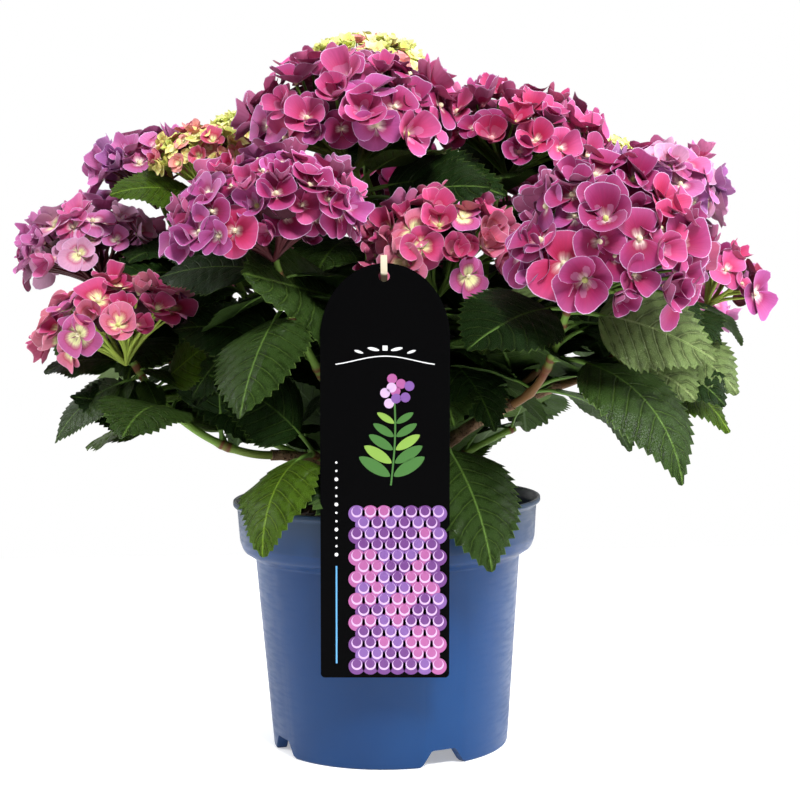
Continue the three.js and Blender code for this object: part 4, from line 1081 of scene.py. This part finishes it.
def makeStems():
    # Tapering tubes, swollen where a pair of leaves sits. The map's height is a tone: green at 0,
    # brown-red at a node, bark where the shoot is old.
    share = np.linspace(0, 1, stem["rows"])
    centres, radii, tones = [], [], []
    for shoot in shoots.values():
        line = evenly(shoot["knots"], share)
        far = (share[:, None] - np.unique(shoot["leaves"][:, 8].round(2))) * lengthOf(shoot["knots"])
        swell, ring = (np.exp(-(far / size) ** 2).max(1) for size in (0.0035, 0.0024))
        old = smooth(0.75, 0.0, share) * (0.9 if line[-1, 0] > 0.03 else 0.25)
        centres.append(line)
        radii.append((stem["foot"] + (stem["tip"] - stem["foot"]) * share) * (1 + 0.32 * swell))
        tones.append(np.clip(np.maximum(0.5 * ring, old), 0.01, 0.99))
    grids, tones, sides = tubes(np.array(centres), np.array(radii), stem["sides"]), np.array(tones), stem["sides"]
    walls = gridFaces(stem["rows"], sides, True)
    tone = tones[:, walls // sides]
    across = (walls[:, :1] % sides + np.array([0, 1, 1, 0])) / sides
    endTone = np.repeat(tones[:, [0, -1], None], sides, 2)
    maps = [np.stack(np.broadcast_arrays(across, tone), -1), np.stack(np.broadcast_arrays(0.5, endTone), -1)]
    shade = Shade("stemGreen", roughness=0.5, specular_ior_level=0.15)
    height = shade.parts(shade.put("ShaderNodeUVMap", uv_map=bakeMap))[1]
    stops = ((0.0, "green"), (0.15, "green"), (0.45, "red"), (0.6, "wood"), (1.0, "wood"))
    shade.colour(shade.ramp(height, [(place, stem[colour]) for place, colour in stops]))
    return addBodies("greenStems", grids, [shade.material], maps=maps)


settle(makeStems(), "foliage", shootNodes)


def leafFrames(leaves, share):  # points on the arch, with the ways along, across and over the leaf there
    bearing, rise, bend, length, roll = (leaves[:, None, column] for column in range(3, 8))
    arch = dict(root=leaves[:, None, :3], bearing=bearing, rise=rise, bend=bend, length=length)
    share = np.broadcast_to(share, (len(leaves), len(share)))
    along = archWay(arch, share)
    side = np.broadcast_to(outward(bearing + 90), along.shape)
    roll = np.radians(roll) + np.zeros(share.shape)
    return archPoint(arch, share), along, turned(side, along, roll), turned(np.cross(along, side), along, roll)


def bladeWidth(share):  # 1 at its widest
    return share ** leaf["widening"] * (1 - share) ** leaf["closing"] / leaf["peak"]


def bladeRows():  # places along the blade, two for each tooth, and how far each one points out
    start, teeth = 0.05, leaf["teeth"]
    valley = np.linspace(start, 1, teeth, endpoint=False)
    peak = valley + 0.68 * (1 - start) / teeth
    places = np.concatenate([[0.0, 0.012], np.stack([valley, peak], -1).ravel(), [1.0]])
    return places, np.array([0.0, 0.0] + [0.0, 1.0] * teeth + [0.0])


def bladeGrids(leaves, seed):
    # q runs along the blade and x across it from -1 to 1. Height over the arch: half * (channel |x| - sag x^2),
    # plus puckers between side veins that sweep forward, a ruffle at the rim, and teeth that point forward.
    places, pointed = bladeRows()
    x, q = np.array(leaf["columns"]), places[:, None]
    middle, along, across, over = leafFrames(leaves, leaf["stalk"] + (1 - leaf["stalk"]) * places)
    length, pick = leaves[:, 6, None, None], seed[:, None, None]
    half = leaf["halfWidth"] * length * bladeWidth(q)
    fade = np.sin(np.pi * np.clip(q, 0.02, 1)) ** 0.4
    toothed = pointed[:, None] * (np.abs(x) == 1) * fade * length
    tooth = leaf["tooth"] * toothed * (0.7 + 0.6 * chance(pick + 3 * np.arange(len(places))[:, None] + x))
    swept = leaf["sweep"] * np.abs(x) ** 1.3 * (0.4 + 0.6 * bladeWidth(q)) * 0.8
    hump = np.abs(np.sin(np.pi * (q - swept + 0.03 * (x > 0)) * leaf["veins"])) ** 0.8 - 0.5
    height = half * (leaf["channel"] * np.abs(x) - leaf["sag"] * x ** 2 * (0.75 + 0.5 * chance(pick + 0.37)))
    height = height + leaf["pucker"] * length * hump * np.minimum(np.abs(x) / 0.26, 1) * (1.05 - x ** 4) * fade * 0.55
    wave = np.sin(2 * np.pi * (2.3 * q + chance(pick + 0.2)) + 2 * (x > 0)) * x ** 4
    height = height + leaf["ruffle"] * length * wave * (0.5 + chance(pick + 0.6))
    grid = (middle[:, :, None] + across[:, :, None] * ((half + tooth) * x)[..., None]
            + over[:, :, None] * height[..., None] + along[:, :, None] * (leaf["forward"] * toothed)[..., None])
    return behindTag(grid), places, x, over


# A leaf's colours: its body and its ribs. The grey tint is painted sheen: a lighter grey-green for glossy leaves in
# the light.
leafTints = dict(deep=((0.005, 0.016, 0.002), (0.045, 0.085, 0.016)),
                 mid=((0.015, 0.033, 0.005), (0.070, 0.130, 0.022)),
                 fresh=((0.032, 0.066, 0.003), (0.15, 0.25, 0.02)),
                 grey=((0.098, 0.142, 0.046), (0.26, 0.33, 0.13)))
leafRim = (0.20, 0.33, 0.07)


def leafShade(name, column, under):
    # Along and across the blade: pale midrib and side veins that sweep forward, a net of small veins in
    # relief, and a thin lime rim. Between the side veins the colour runs from painted shade in the creases to painted
    # highlight on the puckers. The underside is paler and dull.
    body, rib = (np.array(colour) for colour in leafTints[name])
    # dark and light are painted shade in the vein creases and painted highlight on the puckers
    dark, light = body * 0.64, body * 1.40 + 0.002
    if under:
        body = body * 0.9 + np.array([0.036, 0.066, 0.014])
        dark, light, rib = body * 0.85, body * 1.1, body * 1.5 + 0.04
    shade = Shade(f"leaf_{name}_under" if under else f"leaf_{name}", roughness=0.36, specular_ior_level=0.07)
    across, along = shade.tile(column, 1 if under else 0)
    aside = shade.sum("ABSOLUTE", shade.sum("MULTIPLY_ADD", across, 2.0, -1.0))
    closing = shade.sum("POWER", shade.sum("SUBTRACT", 1.0, along), leaf["closing"])
    width = shade.sum("DIVIDE", shade.product(shade.sum("POWER", along, leaf["widening"]), closing), leaf["peak"])
    reach = shade.product(aside, width)
    spine = shade.between(reach, 0.010, 0.038, 1.0, 0.0)
    sweep = shade.product(shade.sum("POWER", aside, 1.3), shade.sum("MULTIPLY_ADD", width, 0.6, 0.4))
    phase = shade.sum("SUBTRACT", along, shade.product(sweep, leaf["sweep"] * 0.8))
    phase = shade.sum("MULTIPLY_ADD", shade.sum("GREATER_THAN", across, 0.5), 0.03, phase)
    phase = shade.sum("MULTIPLY_ADD", phase, float(leaf["veins"]), 0.5)
    near = shade.sum("ABSOLUTE", shade.sum("SUBTRACT", shade.sum("FRACT", phase), 0.5))
    side = shade.product(shade.between(near, 0.02, 0.09, 1.0, 0.0), shade.between(aside, 0.55, 1.0, 0.8, 0.15))
    flat = shade.vector(shade.product(reach, 5.0), shade.product(along, 9.0), float(column))
    net = shade.put("ShaderNodeTexVoronoi", {"Vector": flat, "Scale": 7.0}, feature="DISTANCE_TO_EDGE")
    netted = shade.between(net, 0.0, 0.12, 1.0, 0.0)
    cloud = shade.noise(flat, 1.3)
    # painted shade and highlight of the quilting: dark near the side veins, light on the puckers between them
    bulge = shade.sum("ADD", near, shade.between(cloud, 0.3, 0.7, -0.14, 0.14))
    colour = shade.mix(shade.between(bulge, 0.02, 0.34), dark, light)
    rim = shade.between(aside, 0.965, 0.985, 0.0, 0.75)
    for share, over in ((shade.product(netted, 0.22), rib), (shade.product(side, 0.65), rib), (spine, rib),
                        (rim, leafRim)):
        colour = shade.mix(share, colour, over)
    shade.colour(colour)
    shade.rough(shade.between(cloud, 0.3, 0.7, *((0.55, 0.65) if under else (0.30, 0.42))))
    height = shade.sum("MULTIPLY_ADD", netted, -0.35, shade.product(side, -0.8))
    shade.relief(height, -0.0012 if under else 0.0014, 0.9)
    return shade.material


def makeLeaves(title, leaves, weights):
    # Each blade is a fine grid above and, below, one strip from each rim to a line a little under the midrib.
    seed = np.arange(len(leaves)) * 1.37 + len(leaves)
    grid, places, x, over = bladeGrids(leaves, seed)
    count, rows, columns = grid.shape[:3]
    mid = columns // 2
    keel = grid[:, 1:-1, mid] - over[:, 1:-1] * leaf["ribDepth"]
    points = np.concatenate([grid.reshape(count, -1, 3), keel], 1)
    left, right = np.arange(rows) * columns, np.arange(rows) * columns + columns - 1
    line = np.concatenate([[mid], rows * columns + np.arange(rows - 2), [(rows - 1) * columns + mid]])
    lower = [np.stack([a[:-1], b[:-1], b[1:], a[1:]], -1) for a, b in ((left, line), (line, right))]
    skins = gridFaces(rows, columns)[:, ::-1], np.concatenate(lower)
    flat = np.stack(np.broadcast_arrays((x + 1) / 2, places[:, None]), -1)
    flat = np.concatenate([flat.reshape(-1, 2), flat[1:-1, mid]])
    tints = np.where(leaves[:, 9] < 0, dealt(weights, chance(seed * 3.1)), leaves[:, 9]).astype(int)
    faces, slots, maps = [], [], []
    for row, skin in enumerate(skins):
        faces.append(many(skin, count, points.shape[1]))
        slots.append(np.repeat(tints + row * len(leafTints), len(skin)))
        maps += inTiles(flat, [skin], tints, row)
    return addPiece(title, points.reshape(-1, 3), faces, leafFinish, slots, maps, creaseAngle=62)


def makeStalks(title, leaves):  # a stalk along each leaf's arch, which thins to a raised rib under the blade
    stalk = leaf["stalk"]
    share = np.concatenate([np.linspace(0, stalk, 7), np.linspace(stalk + 0.05, 0.95, 9)])
    middle, along, across, over = leafFrames(leaves, share)
    scale = np.clip(leaves[:, 6, None] / 0.11, 0.6, 1.15)
    radius = np.interp(share, [0, 0.05, stalk, 0.6, 0.95], [0.0026, 0.0017, 0.0016, 0.0009, 0.0004]) * scale
    sunk = radius * np.interp(share, [0, stalk * 0.8, stalk + 0.06, 0.95], [0, 0, 1, 0.8]) * 0.9
    return addBodies(title, tubes(behindTag(middle - over * sunk[..., None]), radius, 6), [stalkFinish])


leafFinish = [leafShade(name, column, under) for under in (False, True) for column, name in enumerate(leafTints)]
stalkFinish = Shade("leafStalk", (0.10, 0.19, 0.035), roughness=0.45, specular_ior_level=0.15).material
for leaves, kind, weights in ((outerLeaves, "leaf", (4, 5, 2, 2)), (innerLeaves, "inner", (5, 4, 1, 1))):
    settle(makeLeaves(kind + "Blades", leaves, weights), "foliage", shootNodes)
    settle(makeStalks(kind + "Stalks", leaves), "foliage", shootNodes)


# ---- tag and strap

def tagPlace(flat, lift):  # points drawn on the card, x across and z up from its foot, put in place
    tilt = math.radians(tag["askew"])
    x, z = flat[..., 0], flat[..., 1]
    return np.stack([tag["footX"] + x * math.cos(tilt) + z * math.sin(tilt), tagFront - lift + 0 * x,
                     tag["foot"] - x * math.sin(tilt) + z * math.cos(tilt)], -1)


def arc(x, z, across, over, start, end, steps):  # points on an ellipse's arc, from one angle to another in degrees
    angle = np.radians(np.linspace(start, end, steps))
    return np.stack([x + across * np.cos(angle), z + over * np.sin(angle)], -1)


def makeCard():  # the outline and the hole, each walked round in step, with a face between them front and back
    half, corner = tag["width"] / 2, tag["corner"]
    outer = np.concatenate([arc(0, tag["height"] - tag["arch"], half, tag["arch"], 0, 180, 65),
                            arc(corner - half, corner, corner, corner, 180, 270, 7),
                            arc(half - corner, corner, corner, corner, 270, 360, 7)])
    hole = np.array([tag["holeX"], tag["height"] - tag["holeBelowTop"]])
    loop = np.stack([outer, hole + tag["holeRadius"] * unit(outer - hole)])
    count = len(outer)
    points = np.concatenate([tagPlace(loop, lift).reshape(-1, 3) for lift in (0.0, -tag["thickness"])])
    around = np.arange(count)
    after = (around + 1) % count
    face = np.stack([around, after, after + count, around + count], -1)
    rim = np.stack([around, around + 2 * count, after + 2 * count, after], -1)
    bore = np.stack([around + count, after + count, after + 3 * count, around + 3 * count], -1)
    card = Shade("tagBlack", tag["black"], roughness=0.6, specular_ior_level=0.03)
    edge = Shade("tagEdge", tag["edge"], roughness=0.6)
    return addPiece("tagCard", points, [face, (face + 2 * count)[:, ::-1], rim, bore], [card.material, edge.material],
                    [np.repeat([0, 1], 2 * count)], creaseAngle=30)


def disc(x, z, across, over, turn=0.0, sides=28, power=1.0):  # an ellipse, or a leaf shape where power is above 1
    angle = circle(sides)
    flat = np.stack([across * np.cos(angle), over * np.sin(angle) * np.abs(np.sin(angle)) ** (power - 1)], -1)
    cosine, sine = math.cos(math.radians(turn)), math.sin(math.radians(turn))
    return flat @ np.array([[cosine, sine], [-sine, cosine]]) + np.array([x, z])


def ribbon(points, width):  # a flat line of even width through points
    points = np.array(points, float)
    way = unit(np.gradient(points, axis=0))
    aside = np.stack([-way[:, 1], way[:, 0]], -1) * width / 2
    return np.concatenate([points - aside, (points + aside)[::-1]])


inks = dict(violet=(0.19, 0.08, 0.31), magenta=(0.37, 0.09, 0.28), plum=(0.13, 0.03, 0.19), lilac=(0.58, 0.40, 0.64),
            green=(0.05, 0.16, 0.03), lime=(0.22, 0.38, 0.06), white=(0.80, 0.80, 0.82), blue=(0.10, 0.36, 0.72))
scallops = dict(rows=15, columns=7, left=-0.0195, right=0.038, top=0.1144, across=0.0094, down=0.0076,
                rings=((0.0, 0.0058), (0.0012, 0.0038), (0.0019, 0.0031)))  # how far up each ring sits and its radius
sprig = dict(foot=(0.004, 0.134), tall=0.058, leaf=0.0125, flower=(0.0071, 0.199), petals=9, petal=0.0034)
bow = dict(half=0.034, height=0.220, marks=((0.008, 0.2278, 0.0042, 0.0011, 12), (0.018, 0.2260, 0.0032, 0.0009, 18)))
stripe = dict(x=-0.0335, foot=0.010, top=0.078, dots=12, firstDot=0.086, dotStep=0.0058)


def printShapes():
    # Plain ornament as (ink, outline, layer): rows of scallops in violet at the foot, a sprig above them, thin
    # lines at the top and a blue stripe with dots up the left side.
    shapes = []
    for row in range(scallops["rows"]):
        z = scallops["top"] - scallops["down"] * row
        for column in range(scallops["columns"]):
            x = scallops["left"] + scallops["across"] * (column + row % 2 / 2)
            tint = ("violet", "magenta", "plum")[int(3 * chance(row * 5.3 + column * 2.9))]
            if x <= scallops["right"]:
                shapes += [(ink, disc(x, z + lift, size, size), row * 3 + layer) for layer, (ink, (lift, size))
                           in enumerate(zip((tint, "lilac", tint), scallops["rings"]))]
    share = np.linspace(0, 1, 20)
    middle = np.array(sprig["foot"]) + np.stack([0.003 * np.sin(2.2 * share), sprig["tall"] * share], -1)
    shapes.append(("green", ribbon(middle, 0.0012), 0))
    for pair in range(5):
        x, z = middle[2 + 3 * pair]
        size = sprig["leaf"] - 0.0014 * pair
        for side in (-1, 1):
            ink, turn = "green" if (pair + side) % 3 else "lime", 90 - 58 * side if side > 0 else 148
            shapes.append((ink, disc(x + side * size * 0.95, z + size * 0.55, size, size * 0.34, turn, 28, 1.4), 1))
    for number in range(sprig["petals"]):
        turn, third = 2.4 * number, number % 3
        spot = np.array(sprig["flower"]) + 0.0036 * math.sqrt(number) * np.array([math.cos(turn), math.sin(turn)])
        ink = ("magenta", "lilac", "violet")[third]
        shapes.append((ink, disc(*spot, sprig["petal"], sprig["petal"]), 2 + third))
    share = np.linspace(-1, 1, 30)
    curve = np.stack([bow["half"] * share, bow["height"] + 0.003 * np.cos(2.6 * share)], -1)
    shapes += [("white", ribbon(curve, 0.0007), 0), ("white", disc(0, 0.2285, 0.0024, 0.0024, 45, 4), 0)]
    shapes += [("white", disc(side * x, z, across, over, side * turn, 20, 1.3), 0)
               for side in (-1, 1) for x, z, across, over, turn in bow["marks"]]
    shapes.append(("blue", ribbon([[stripe["x"], stripe["foot"]], [stripe["x"], stripe["top"]]], 0.0011), 0))
    for dot in range(stripe["dots"]):
        size = 0.0013 if dot % 3 == 0 else 0.0008
        z = stripe["firstDot"] + stripe["dotStep"] * dot
        shapes.append(("white", disc(stripe["x"], z, size, size, 0, 12), 0))
    return shapes


def makePrint():  # each shape is a closed sliver: a front face, a back face and a rim
    points, faces, slots, start = [], [], [], 0
    for ink, flat, layer in printShapes():
        count = len(flat)
        points += [tagPlace(flat, tag["proud"] * (0.4 + 0.09 * layer)), tagPlace(flat, -0.00005)]
        around = np.arange(count)
        after = (around + 1) % count
        rim = np.stack([around, around + count, after + count, after], -1)
        for part in (around[None], (around + count)[::-1][None], rim):
            faces.append(part + start)
            slots.append(np.full(len(part), list(inks).index(ink)))
        start += 2 * count
    shades = [Shade("ink_" + ink, colour, roughness=0.4).material for ink, colour in inks.items()]
    return addPiece("tagPrint", np.concatenate(points), faces, shades, slots, creaseAngle=30)


strap = dict(width=0.0046, thickness=0.0010, collarRadius=0.0045, collarThickness=0.0018, heldAt=0.4, steps=180,
             collarSides=(40, 12), cream=(0.66, 0.56, 0.40))


def loopThrough(knots, steps):  # a closed centripetal Catmull-Rom line through knots
    line = []
    for number in range(len(knots)):
        a, b, c, d = (knots[(number + step) % len(knots)] for step in (-1, 0, 1, 2))
        before, here, beyond = (np.linalg.norm(q - p) ** 0.5 for p, q in ((a, b), (b, c), (c, d)))
        first = ((b - a) / before - (c - a) / (before + here) + (c - b) / here) * here
        last = ((c - b) / here - (d - b) / (here + beyond) + (d - c) / beyond) * here
        t = np.linspace(0, 1, steps // len(knots), endpoint=False)[:, None]
        line.append((2 * t ** 3 - 3 * t ** 2 + 1) * b + (t ** 3 - 2 * t ** 2 + t) * first
                    + (3 * t ** 2 - 2 * t ** 3) * c + (t ** 3 - t ** 2) * last)
    return np.concatenate(line)


def ringFaces(rows, sides):  # quads of rings that close on themselves
    return gridFaces(rows + 1, sides, True) % (rows * sides)


def makeStrap():  # a flat band through the hole, over the card's edge and back to a collar round a stem
    tilt, face = math.radians(tag["askew"]), tagFront
    holeUp = tag["height"] - tag["holeBelowTop"]
    hole, middleX = tag["foot"] + holeUp * math.cos(tilt), tag["footX"] + tag["holeX"] + holeUp * math.sin(tilt)
    below, held, above = evenly(shoots["top"]["knots"], strap["heldAt"] + np.array([-0.01, 0, 0.01]))
    back = held[1] - strap["collarRadius"]
    route = loopThrough(np.array([
        [face - 0.0012, hole + 0.0022], [face - 0.0014, hole + 0.008], [face + 0.0018, hole + 0.014],
        [face + 0.014, hole + 0.008], [back, held[2] + 0.003], [back, held[2] - 0.003],
        [face + 0.014, hole - 0.004], [face + 0.003, hole + 0.0021]]), strap["steps"])
    way = unit(np.roll(route, -1, 0) - np.roll(route, 1, 0))
    square = np.stack([-way[:, 1], way[:, 0]], -1)[:, None]
    profile = np.array([[-1, -0.6], [-0.9, -1], [0.9, -1], [1, -0.6], [1, 0.6], [0.9, 1], [-0.9, 1], [-1, 0.6]])
    aside, out = (profile * [strap["width"] / 2, strap["thickness"] / 2]).T
    spot = route[:, None] + square * out[:, None]
    band = np.stack([np.broadcast_to(middleX + aside, spot.shape[:2]), spot[..., 0], spot[..., 1]], -1)
    along = unit(above - below)
    across = unit(np.cross(along, np.array([0.0, 1.0, 0.2])))
    turns, sides = strap["collarSides"]
    turn, tube = circle(turns)[:, None, None], circle(sides)[:, None]
    spoke = across * np.cos(turn) + np.cross(along, across) * np.sin(turn)
    round = (spoke * np.cos(tube) + along * np.sin(tube)) * strap["collarThickness"] / 2
    collar = held + spoke * strap["collarRadius"] + round
    faces = [ringFaces(*band.shape[:2]), ringFaces(turns, sides) + band[..., 0].size]
    shade = Shade("strapCream", strap["cream"], roughness=0.55, subsurface_weight=0.05)
    points = np.concatenate([band.reshape(-1, 3), collar.reshape(-1, 3)])
    return addPiece("tagBand", points, faces, [shade.material], creaseAngle=40)


settle(makeCard(), "tag_card", ["tag"])
settle(makePrint(), "tag_card", ["tag"])
settle(makeStrap(), "strap_plastic", ["tag_strap"])


# ---- size of the visual model

visualLow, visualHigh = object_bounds()
